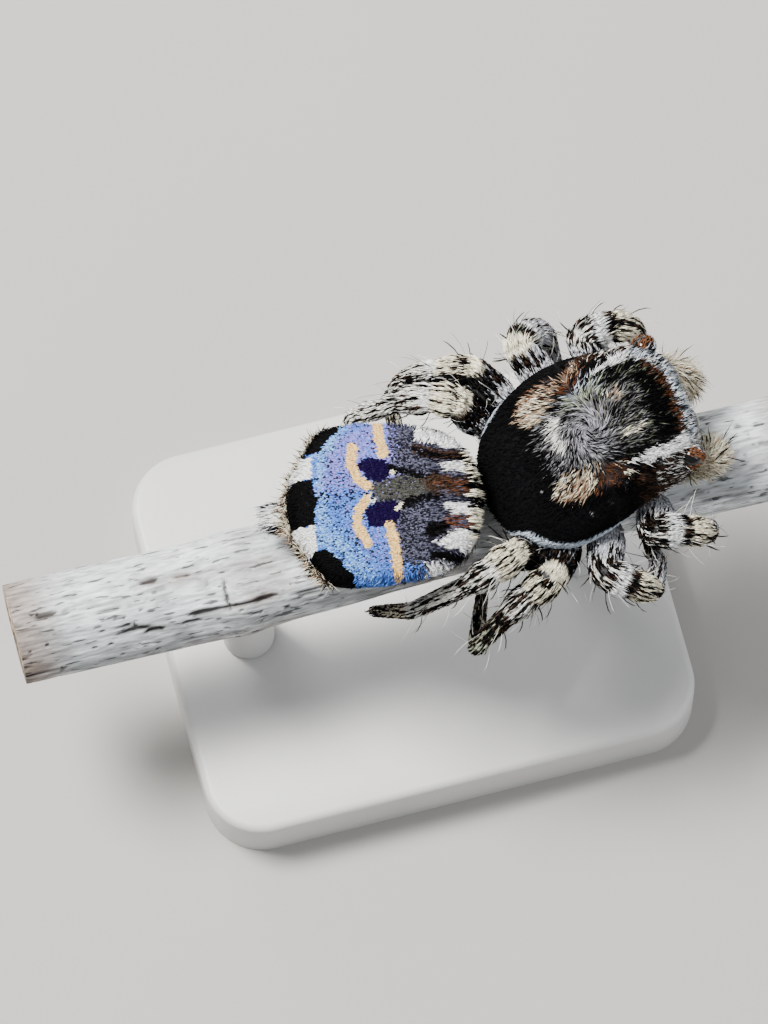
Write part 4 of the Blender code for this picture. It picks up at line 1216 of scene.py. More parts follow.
    def fringe(self, shop: Workshop, shell: ShellSurface, rng: np.random.Generator) -> None:
        """Grow the front edge's comb of cream and black hairs, the rim, the white left shoulder and the hem.

        Args:
            shop: Keeps the pieces.
            shell: The plate's surface.
            rng: The seeded source of random draws.
        """
        roots = shell.scatter(self.fringe_pool, rng)
        forward, outward, height = ABDOMEN.local(roots.place).T
        front = ramp(height, 1.32, 1.38) * ramp(forward, 0.74, 0.82) * ramp(height, 1.56, 1.5)
        teeth = roots.thinned(front * 0.25, rng)
        dark = lattice_noise(ABDOMEN.local(teeth.place)[:, 1:2], 0.022, 7) < 0.42
        comb = Style(length=0.105, width=0.017, thick=0.008, lift=0.03, vary=0.15, stray=0.06)
        tint = uneven(either(dark, BLACK, CREAM), rng, 0.1)
        parts = [comb.grow(teeth, ABDOMEN.way(1.0, 0.0, -0.5), tint, rng)]
        edge = ramp(height, 1.2, 1.26) * ramp(height, 1.44, 1.38) * ramp(forward, 0.82, 0.72)
        rim = roots.thinned(edge * 0.4, rng)
        tint = self.pattern().colours(ABDOMEN.local(rim.place)[:, :2] * 0.985, rng)
        fine = Style(length=0.055, width=0.01, thick=0.005, lift=0.02, vary=0.3, stray=0.2)
        tint = uneven(tint, rng, 0.15)
        parts.append(fine.grow(rim, rim.place - ABDOMEN.place(0.15, 0.0, 1.25), tint, rng))
        along = ramp(forward, 0.32, 0.38) * ramp(forward, 0.78, 0.7) * ramp(outward, 0.45, 0.55)
        strip = roots.thinned(along * ramp(height, 1.22, 1.28) * ramp(height, 1.5, 1.46), rng)
        tint = plain(WHITE, len(strip.place))
        shawl = Style(length=0.08, width=0.017, thick=0.006, lift=0.014, vary=0.2, stray=0.1)
        parts.append(shawl.grow(strip, ABDOMEN.way(0.75, 1.0, -0.1), uneven(tint, rng, 0.1), rng))
        below = ramp(height, 1.24, 1.18) * ramp(height, 1.03, 1.08) * ramp(forward, -0.5, -0.64)
        hem = roots.thinned(below, rng)
        draw = rng.random(len(hem.place))
        tint = either(draw < 0.58, SEPIA, either(draw < 0.72, TAN, CREAM))
        stubble = Style(length=0.15, width=0.01, thick=0.005, lift=0.016, vary=0.4, stray=0.3)
        tint = uneven(tint, rng, 0.2)
        parts.append(stubble.grow(hem, hem.place - ABDOMEN.place(0.15, 0.0, 1.15), tint, rng))
        shop.keep(Tufts.joined(parts).build("fan_plate_fringe"), Slot.PLATE, shop.finishes.hair)


@dataclass(frozen=True)
class LegBand:
    """A length of leg, in joint numbers, and the mix of light and dark hair on it."""

    start: float
    end: float
    dark: float
    light: Colour = CREAM


# In the hind and dark bands the femur from about joint 0.5 to 0.93 is nearly all black: partly its own dark
# hair before the knee, partly painted shade where the femur lies under the body.
HIND_BANDS = (
    LegBand(0.0, 0.52, 0.35, MIST), LegBand(0.52, 0.93, 0.9, ASH), LegBand(0.93, 1.09, 0.05, CREAM),
    LegBand(1.09, 1.2, 0.95), LegBand(1.2, 1.9, 0.34, CREAM), LegBand(1.9, 2.08, 0.22, WHITE),
    LegBand(2.08, 2.84, 0.46, PALE), LegBand(2.84, 3.06, 0.8, PALE), LegBand(3.06, 4.0, 0.46, PALE),
    LegBand(4.0, 4.6, 0.6), LegBand(4.6, 5.0, 0.9),
)
DARK_BANDS = (
    LegBand(0.0, 0.5, 0.42, MIST), LegBand(0.5, 0.92, 0.93, ASH), LegBand(0.92, 1.09, 0.05, CREAM),
    LegBand(1.09, 1.22, 0.97), LegBand(1.22, 1.84, 0.38, CREAM), LegBand(1.84, 2.1, 0.6, PALE),
    LegBand(2.1, 2.76, 0.5, PALE), LegBand(2.76, 3.08, 0.95), LegBand(3.08, 4.2, 0.66, STRAW),
    LegBand(4.2, 5.0, 0.9),
)
FRONT_BANDS = (
    LegBand(0.0, 0.62, 0.14, MIST), LegBand(0.62, 0.88, 0.38, MIST), LegBand(0.88, 1.34, 0.74, PALE),
    LegBand(1.34, 1.74, 0.04, WHITE), LegBand(1.74, 2.02, 0.93), LegBand(2.02, 2.84, 0.42, CREAM),
    LegBand(2.84, 3.06, 0.75), LegBand(3.06, 4.2, 0.45, MIST), LegBand(4.2, 5.0, 0.85),
)
SIDE_BANDS = (
    LegBand(0.0, 0.58, 0.12, MIST), LegBand(0.58, 0.88, 0.62, MIST), LegBand(0.88, 1.13, 0.03, CREAM),
    LegBand(1.13, 1.34, 0.8, KHAKI), LegBand(1.34, 1.66, 0.1, WHITE), LegBand(1.66, 2.6, 0.3, MIST),
    LegBand(2.6, 3.06, 0.5, PALE), LegBand(3.06, 4.2, 0.3, MIST), LegBand(4.2, 5.0, 0.85),
)


@dataclass(frozen=True)
class Leg:
    """One leg: where its joints are and how it is banded."""

    name: str
    side: Side
    hip: float
    joints_local: tuple[tuple[float, float, float], ...]
    foot_x: float
    foot_angle: float
    bands: tuple[LegBand, ...]

    def joints(self) -> Array:
        """Room places of the hip, knee, shin, ankle, instep and foot."""
        sign = self.side.value
        rows = [PROSOMA.place(self.hip, sign * 0.7, 0.6)]
        rows += [PROSOMA.place(row[0], sign * row[1], row[2]) for row in self.joints_local]
        angle = math.radians(self.foot_angle if sign > 0 else 180.0 - self.foot_angle)
        rows.append(Twig.centre(np.array(self.foot_x))
                    + np.array((0.0, math.cos(angle), math.sin(angle))) * (TWIG_RADIUS + 0.108))
        return np.array(rows)

    def surface(self) -> TubeSurface:
        """The skin of the leg."""
        radius = Profile(((0, 0.125), (0.15, 0.14), (0.42, 0.18), (0.85, 0.168), (1.0, 0.15), (1.14, 0.155),
                          (1.42, 0.17), (1.85, 0.152), (2.0, 0.136), (2.15, 0.144), (2.42, 0.151),
                          (2.85, 0.122), (3.0, 0.102), (3.3, 0.094), (4.0, 0.082), (4.5, 0.068),
                          (5.0, 0.05)))
        return TubeSurface(self.joints(), radius)

    def colours(self, surface: TubeSurface, patch: Array, seed: int, rng: np.random.Generator) -> Array:
        """Colours of the tufts at chosen places.

        Args:
            surface: The leg's skin.
            patch: Rows of (u, v).
            seed: The leg's own number, so that its streaks differ.
            rng: The seeded source of random draws.

        Returns:
            One colour for each place.
        """
        turn = 2 * np.pi * patch[:, 1]
        ring = np.stack((np.cos(turn), np.sin(turn)), axis=1)
        joint = surface.joint(patch[:, 0]) + (lattice_noise(ring, 0.35, seed + 90) - 0.5) * 0.07
        streak = lattice_noise(np.column_stack((ring * 9.0, patch[:, 0] * surface.length / 0.19)), 1.0, seed)
        odd = rng.random(len(patch)) < 0.04
        brown = rng.random(len(patch)) < 0.18
        colours = plain(CREAM, len(patch))
        for band in self.bands:
            dark = (streak < 0.5 + (band.dark - 0.5) * 0.8) ^ odd
            inside = (joint >= band.start) & (joint < band.end)
            colours = np.where(inside[:, None], either(dark, BLACK, band.light), colours)
            colours = np.where((inside & dark & brown)[:, None], np.array(BROWN), colours)
        return uneven(colours, rng, 0.15)


LEGS = (
    Leg("l1", Side.LEFT, 1.66,
        ((1.56, 1.08, 1.02), (1.87, 1.1, 1.0), (2.12, 1.03, 0.82), (2.16, 0.74, 0.4)),
        2.7, 12, FRONT_BANDS),
    Leg("l2", Side.LEFT, 1.12,
        ((0.94, 1.25, 1.0), (1.12, 1.35, 0.92), (1.28, 1.31, 0.66), (1.28, 1.02, 0.28)),
        1.82, 5, SIDE_BANDS),
    Leg("l3", Side.LEFT, 0.7,
        ((0.39, 1.17, 1.02), (0.09, 1.27, 0.98), (-0.24, 1.41, 0.72), (-0.4, 1.4, 0.34)),
        0.1, 5, HIND_BANDS),
    Leg("l4", Side.LEFT, 0.34,
        ((0.15, 0.87, 1.12), (-0.08, 1.02, 1.12), (-0.38, 1.16, 0.94), (-0.84, 1.3, 0.58)),
        -0.45, 8, HIND_BANDS),
    Leg("r1", Side.RIGHT, 1.66,
        ((1.43, 1.1, 1.05), (1.74, 1.2, 1.03), (1.97, 1.25, 0.84), (2.07, 1.09, 0.42)),
        2.76, 5, FRONT_BANDS),
    Leg("r2", Side.RIGHT, 1.12,
        ((0.82, 1.29, 1.0), (1.03, 1.48, 0.9), (1.26, 1.54, 0.62), (1.47, 1.2, 0.26)),
        2.28, 0, FRONT_BANDS),
    Leg("r3", Side.RIGHT, 0.7,
        ((0.32, 1.15, 1.05), (0.09, 1.2, 0.92), (-0.2, 1.24, 0.64), (-0.56, 1.3, 0.14)),
        0.58, -8, DARK_BANDS),
    Leg("r4", Side.RIGHT, 0.34,
        ((0.06, 0.82, 1.13), (-0.2, 0.88, 1.1), (-0.46, 0.9, 0.98), (-1.03, 0.76, 0.36)),
        -0.6, -10, HIND_BANDS),
)


@dataclass
class Legs:
    """The coats of the eight legs, their bristles, spines and claws."""

    tufts_each: int = 6000
    bristles_each: int = 60
    spines_each: int = 10
    thorns_each: int = 9
    # How close to another leg's skin, in millimetres, tufts begin and finish turning black, and how many do:
    # painted shade where two legs touch.
    seam: tuple[float, float] = (0.15, 0.08)
    seam_share: float = 0.92
    seed: int = 40

    def build(self, shop: Workshop) -> list[Tufts]:
        """Dress the legs.

        Args:
            shop: Keeps the pieces.

        Returns:
            The coats, for the skin's markings.
        """
        coats, extras = [], []
        short = Style(length=0.078, width=0.0105, thick=0.005, lift=0.007, vary=0.25, stray=0.09, tilt=0.05)
        bristle = Style(length=0.2, width=0.005, thick=0.004, lift=0.13, vary=0.35, stray=0.35)
        spine = Style(length=0.2, width=0.018, thick=0.012, lift=0.12, vary=0.15, stray=0.2)
        thorn = Style(length=0.06, width=0.017, thick=0.013, lift=0.145, vary=0.15, stray=0.5)
        skins = [leg.surface() for leg in LEGS]
        for number, leg in enumerate(LEGS):
            rng = np.random.default_rng(self.seed + number)
            surface = skins[number]
            roots = surface.scatter(self.tufts_each, rng)
            size = 1.0 - 0.45 * ramp(surface.joint(roots.patch[:, 0]), 3.0, 4.6)
            tint = leg.colours(surface, roots.patch, 7 * number, rng)
            # Tufts where this leg comes close to another turn black: painted shade in the gap between them.
            gap = np.min([skin.gap_to(roots.place) for skin in skins if skin is not surface], axis=0)
            tint = either(rng.random(len(gap)) < self.seam_share * ramp(gap, *self.seam), BLACK, tint)
            coats.append(short.grow(roots, roots.along, tint, rng, size).tiled(number % 2, 2))
            roots = surface.scatter(self.bristles_each, rng)
            roots = roots.chosen(surface.joint(roots.patch[:, 0]) < 4.5)
            pale = rng.random(len(roots.place)) < 0.6
            extras.append(bristle.grow(roots, roots.along, either(pale, PALE, BROWN), rng).tiled(number, 8))
            for style, patch in zip((thorn, spine), self.spine_places(surface, rng)):
                roots, _ = surface.roots(patch)
                black = plain(BLACK, len(roots.place))
                extras.append(style.grow(roots, roots.along, black, rng).tiled(number, 8))
        for pair, name in enumerate(("left_front", "left_hind", "right_front", "right_hind")):
            coat = Tufts.joined(coats[2 * pair:2 * pair + 2])
            shop.keep(coat.build(f"leg_coats_{name}"), Slot.LEG, shop.finishes.hair)
        mesh = Tufts.joined(extras).build("leg_bristles", (0.0, 0.35, 0.7), (0.9, 1.0, 0.7), 0.9)
        shop.keep(mesh, Slot.LEG, shop.finishes.bristle)
        self.claws(shop)
        return coats

    def spine_places(self, surface: TubeSurface, rng: np.random.Generator) -> tuple[Array, Array]:
        """Choose the roots of the stout spines.

        Args:
            surface: The leg's skin.
            rng: The seeded source of random draws.

        Returns:
            Rows of (u, v) round the knee, and rows low on the lengths beyond it.
        """
        knee = np.column_stack((surface.share(rng.uniform(0.86, 1.06, self.thorns_each)),
                                rng.random(self.thorns_each)))
        joint = np.linspace(1.3, 3.9, self.spines_each)
        turn = np.where(np.arange(len(joint)) % 2 == 0, 0.6, 0.9) + rng.normal(0.0, 0.05, len(joint))
        return knee, np.column_stack((surface.share(joint), turn % 1.0))

    @staticmethod
    def claws(shop: Workshop) -> None:
        """Put a pair of small hooked claws on each foot.

        Args:
            shop: Keeps the pieces.
        """
        whole = bmesh.new()
        for leg, side in itertools.product(LEGS, Side):
            instep, foot = leg.joints()[4:]
            way = unit(foot - instep)
            inward = unit(Twig.centre(foot[0]) - foot)
            inward = inward - way * (inward @ way)
            hook = foot + way * 0.035 + np.cross(way, inward) * 0.018 * side.value
            path = np.array([hook, hook + way * 0.035 - inward * 0.008, hook + way * 0.055 + inward * 0.015])
            claw = TubeSurface(path, Profile(((0.0, 0.01), (1.0, 0.007), (2.0, 0.002))), soft=0.015,
                               samples=24)
            add_part(whole, wrap(claw, 8, 8))
        shop.keep(mesh_from(whole, "claws"), Slot.LEG, shop.finishes.horn)


@dataclass
class Hindbody:
    """The soft abdomen below the plate, the spinnerets and the waist."""

    reach: float = 0.97
    half_width: float = 0.8
    level: float = 1.02
    low: float = 0.66
    top: float = 1.4
    coat_depth: float = 0.04
    hairs: int = 11000
    tail_hairs: int = 420
    seed: int = 31

    def surface(self) -> ShellSurface:
        """The abdomen's skin."""
        return ShellSurface(
            body=ABDOMEN, start=-self.reach, end=self.reach, inset=self.coat_depth,
            half=ABDOMEN_SHAPE.scaled(self.half_width), level=level_profile(self.level),
            top=ABDOMEN_SHAPE.raised(0.45).scaled(self.top - self.level, self.level),
            bottom=ABDOMEN_SHAPE.raised(0.7).scaled(self.low - self.level, self.level),
            square_top=level_profile(2.4), square_low=2.2)

    def spinnerets(self) -> list[TubeSurface]:
        """The core and the four spinning tubes."""
        tubes = [TubeSurface(ABDOMEN.place(np.array((-0.8, -1.0)), 0.0, np.array((0.95, 0.92))),
                             Profile(((0.0, 0.12), (1.0, 0.1))))]
        sizes = ((0.06, 1.2, 0.045), (-0.07, 1.15, 0.055))
        for side, (lift, reach, radius) in itertools.product(Side, sizes):
            path = ABDOMEN.place(np.array((-0.84, -reach)), side.value * np.array((0.07, 0.06)),
                                 np.array((0.95, 0.88)) + lift)
            tubes.append(TubeSurface(path, Profile(((0.0, 0.08), (1.0, radius)))))
        return tubes

    def flesh(self) -> list[tuple[Surface, int, int]]:
        """Surfaces that the skin runs over, with their faces round and along."""
        ends = np.array((PROSOMA.place(0.35, 0.0, 0.84), ABDOMEN.place(0.75, 0.0, 0.92)))
        waist = TubeSurface(ends, Profile(((0.0, 0.1), (1.0, 0.09))))
        return [(self.surface(), 96, 64), (waist, 24, 12)] + [(tube, 24, 20) for tube in self.spinnerets()]

    def build(self, shop: Workshop) -> list[Tufts]:
        """Dress the abdomen and spinnerets.

        Args:
            shop: Keeps the pieces.

        Returns:
            The coats, for the skin's markings.
        """
        rng = np.random.default_rng(self.seed)
        roots = self.surface().scatter(self.hairs, rng)
        roots = roots.chosen(ABDOMEN.local(roots.place)[:, 2] < 1.27)
        local = ABDOMEN.local(roots.place)
        streak = lattice_noise(local * np.array((0.5, 1.0, 1.0)), 0.05, 3)
        colours = either(streak > 0.5, FAWN, PEAT)
        colours = either(rng.random(len(local)) < 0.16, PALE, colours)
        style = Style(length=0.13, width=0.012, thick=0.005, lift=0.028, stray=0.25)
        size = 1.0 + 0.6 * ramp(local[:, 0], -0.66, -0.86)
        coat = style.grow(roots, ABDOMEN.way(-1.0, 0.0, -0.35), uneven(colours, rng, 0.2), rng, size)
        shop.keep(coat.build("abdomen_coat"), Slot.BODY, shop.finishes.hair)
        tail = []
        brush = Style(length=0.12, width=0.01, thick=0.005, lift=0.02, stray=0.22)
        for row, tube in enumerate(self.spinnerets()):
            roots = tube.scatter(self.tail_hairs, rng)
            outward = np.abs(ABDOMEN.local(roots.place)[:, 1] + 0.01)
            dark = rng.random(len(outward)) < 0.1 + 0.85 * ramp(outward, 0.07, 0.12)
            tint = uneven(either(dark, INK, WHITE), rng, 0.15)
            tail.append(brush.grow(roots, roots.along, tint, rng).tiled(row, 5))
        tail_coat = Tufts.joined(tail)
        shop.keep(tail_coat.build("spinneret_coat"), Slot.BODY, shop.finishes.hair)
        return [coat, tail_coat]


@dataclass
class Head:
    """The eyes, jaws, palps and underside of the head end."""

    palp_hairs: int = 2200
    hip_hairs: int = 320
    breast_hairs: int = 2200
    seed: int = 57

    def palp(self, side: Side) -> TubeSurface:
        """One palp, from its root beside the jaw to its club."""
        places = {Side.LEFT: ((2.0, 2.26, 2.38, 2.37), (0.5, 0.45, 0.34, 0.23), (0.8, 0.98, 0.86, 0.64)),
                  Side.RIGHT: ((1.98, 2.21, 2.34, 2.34), (0.54, 0.61, 0.53, 0.37), (0.8, 0.96, 0.84, 0.64))}
        forward, outward, height = np.array(places[side])
        path = PROSOMA.place(forward, side.value * outward, height)
        return TubeSurface(path, Profile(((0, 0.07), (0.6, 0.085), (1.0, 0.085), (1.5, 0.1), (2.0, 0.115),
                                          (2.6, 0.095), (3.0, 0.06))))

    def breast(self) -> ShellSurface:
        """The breast between the hips."""
        half = Profile(((0.16, 0.3), (0.4, 0.8), (1.0, 1.0), (1.6, 0.85), (1.95, 0.5))).scaled(0.46)
        return ShellSurface(body=PROSOMA, start=0.16, end=1.95, half=half, level=level_profile(0.72),
                            top=level_profile(0.9), bottom=level_profile(0.6), square_top=level_profile(2.4),
                            square_low=2.6, inset=0.01)

    def hips(self) -> list[TubeSurface]:
        """The eight hip segments."""
        tubes = []
        for leg in LEGS:
            sign = leg.side.value
            path = np.array((PROSOMA.place(0.25 + 0.75 * leg.hip, sign * 0.22, 0.72),
                             PROSOMA.place(leg.hip, sign * 0.72, 0.6)))
            tubes.append(TubeSurface(path, Profile(((0.0, 0.12), (1.0, 0.14)))))
        return tubes

    def flesh(self) -> list[tuple[Surface, int, int]]:
        """Surfaces that the skin runs over, with their faces round and along."""
        return ([(self.breast(), 64, 48)] + [(tube, 24, 20) for tube in self.hips()]
                + [(self.palp(side), 32, 60) for side in Side])

    def build(self, shop: Workshop) -> list[Tufts]:
        """Build the eyes and jaws and dress the palps and underside.

        Args:
            shop: Keeps the pieces.

        Returns:
            The coats, for the skin's markings.
        """
        self.eyes(shop)
        self.jaws(shop)
        rng = np.random.default_rng(self.seed)
        fuzz = Style(length=0.075, width=0.009, thick=0.004, lift=0.028, stray=0.35, vary=0.35)
        palps, lower = [], []
        for row, side in enumerate(Side):
            roots = self.palp(side).scatter(self.palp_hairs, rng)
            draw = rng.random(len(roots.place))
            tint = either(draw < 0.05, BLACK, either(draw < 0.25, TAN, CREAM))
            long = replace(fuzz, length=0.105, width=0.0075, lift=0.05, stray=0.55, vary=0.5)
            size = 1.0 + 0.7 * (draw < 0.05)
            palps.append(long.grow(roots, roots.along, uneven(tint, rng, 0.2), rng, size).tiled(row, 2))
        for row, tube in enumerate(self.hips()):
            roots = tube.scatter(self.hip_hairs, rng)
            tint = uneven(plain(ASH, len(roots.place)), rng, 0.3)
            lower.append(fuzz.grow(roots, roots.along, tint, rng, 0.9).tiled(row, 9))
        roots = self.breast().scatter(self.breast_hairs, rng)
        roots = roots.chosen(roots.out[:, 2] < 0.2)
        tint = uneven(plain(GREY, len(roots.place)), rng, 0.3)
        lower.append(fuzz.grow(roots, -roots.along, tint, rng, 0.8).tiled(8, 9))
        coats = [Tufts.joined(palps), Tufts.joined(lower)]
        shop.keep(coats[0].build("palp_coats"), Slot.PALE, shop.finishes.hair)
        shop.keep(coats[1].build("underside_coat"), Slot.CUTICLE, shop.finishes.hair)
        return coats

    @staticmethod
    def eyes(shop: Workshop) -> None:
        """Build the eight lenses, and the dark rims of those that have one.

        Args:
            shop: Keeps the pieces.
        """
        rims = bmesh.new()
        for eye, side in itertools.product(EYES, Side):
            turn = Vector(eye.look(side)).to_track_quat("Z", "Y").to_matrix().to_4x4()
            seat = Matrix.Translation(Vector(eye.centre(side))) @ turn
            lens = bmesh.new()
            bmesh.ops.create_uvsphere(lens, u_segments=48, v_segments=32, radius=eye.radius)
            bmesh.ops.transform(lens, matrix=seat, verts=lens.verts)
            shop.keep(mesh_from(lens, f"lens_{eye.name}_{side.letter}"), Slot.EYE, shop.finishes.lens,
                      (f"eye_{eye.name}_{side.letter}",))
            if eye.rim == 0.0:
                continue
            ring = bmesh.new()
            wide = math.sqrt(1.0 - eye.opening**2) * eye.radius
            bmesh.ops.create_circle(ring, segments=12, radius=eye.rim * eye.radius + 0.004)
            bmesh.ops.rotate(ring, cent=(0, 0, 0), matrix=Matrix.Rotation(math.pi / 2, 3, "X"),
                             verts=ring.verts)
            bmesh.ops.translate(ring, vec=(wide, 0, (eye.opening - 0.03) * eye.radius), verts=ring.verts)
            bmesh.ops.spin(ring, geom=ring.verts[:] + ring.edges[:], cent=(0, 0, 0), axis=(0, 0, 1),
                           angle=2 * math.pi, steps=48, use_merge=True)
            bmesh.ops.remove_doubles(ring, verts=ring.verts, dist=1e-5)
            bmesh.ops.recalc_face_normals(ring, faces=ring.faces)
            bmesh.ops.transform(ring, matrix=seat, verts=ring.verts)
            add_part(rims, ring)
        shop.keep(mesh_from(rims, "eye_rims"), Slot.CUTICLE, shop.finishes.horn)

    @staticmethod
    def jaws(shop: Workshop) -> None:
        """Build the two jaws, each with its folded fang.

        Args:
            shop: Keeps the pieces.
        """
        for side in Side:
            sign = side.value
            path = PROSOMA.place(np.array((2.0, 2.08, 2.12)), sign * np.array((0.2, 0.2, 0.185)),
                                 np.array((0.96, 0.8, 0.68)))
            radius = Profile(((0.0, 0.15), (0.8, 0.155), (1.5, 0.135), (2.0, 0.1)))
            jaw = wrap(TubeSurface(path, radius), 40, 36)
            path = PROSOMA.place(np.array((2.14, 2.16, 2.14)), sign * np.array((0.2, 0.13, 0.07)),
                                 np.array((0.6, 0.585, 0.61)))
            fang = TubeSurface(path, Profile(((0.0, 0.032), (1.0, 0.02), (2.0, 0.005))), samples=32)
            add_part(jaw, wrap(fang, 14, 16))
            shop.keep(mesh_from(jaw, f"jaw_with_fang_{side.letter}"), Slot.CUTICLE, shop.finishes.horn,
                      (f"jaw_{side.letter}",))


@dataclass
class BodySkin:
    """The one skin that runs over the abdomen, waist, underside, palps and legs."""

    voxel: float = 0.026
    shade: float = 0.6
    nodes: tuple[str, ...] = ("abdomen", "underside", "pedicel", "spinnerets", "palp_arm_l", "palp_arm_r",
                              "palp_bulb_l", "palp_bulb_r")

    def build(self, shop: Workshop, flesh: Sequence[tuple[Surface, int, int]],
              coats: Sequence[Tufts]) -> None:
        """Fuse the flesh into one skin, and give it the markings of the coat that roots in it.

        Args:
            shop: Keeps the pieces.
            flesh: Surfaces with their faces round and along.
            coats: Every coat that roots in the skin.
        """
        whole = bmesh.new()
        for surface, around, along in flesh:
            add_part(whole, wrap(surface, around, along))
        rough = bpy.data.objects.new("rough_skin", mesh_from(whole, "rough_skin"))
        bpy.context.scene.collection.objects.link(rough)
        fuse = rough.modifiers.new("fuse", "REMESH")
        fuse.mode = "VOXEL"
        fuse.voxel_size = self.voxel
        settle = rough.modifiers.new("settle", "SMOOTH")
        settle.factor = 0.5
        settle.iterations = 5
        mesh = bpy.data.meshes.new_from_object(rough.evaluated_get(bpy.context.evaluated_depsgraph_get()))
        bpy.data.objects.remove(rough)
        mesh.name = "body_skin"
        colours = np.concatenate([coat.colour for coat in coats])
        roots = np.concatenate([coat.root for coat in coats])
        tree = kdtree.KDTree(len(roots))
        for index, root in enumerate(roots):
            tree.insert(root, index)
        tree.balance()
        nearest = np.array([tree.find(place)[1] for place in vertex_places(mesh)])
        paint(mesh, colours[nearest] * self.shade + 0.01)
        lengths = ("femur", "patella", "tibia", "foot")
        limbs = tuple(f"leg_{leg.name}_{part}" for leg, part in itertools.product(LEGS, lengths))
        shop.keep(mesh, Slot.BODY, shop.finishes.skin, self.nodes + limbs)


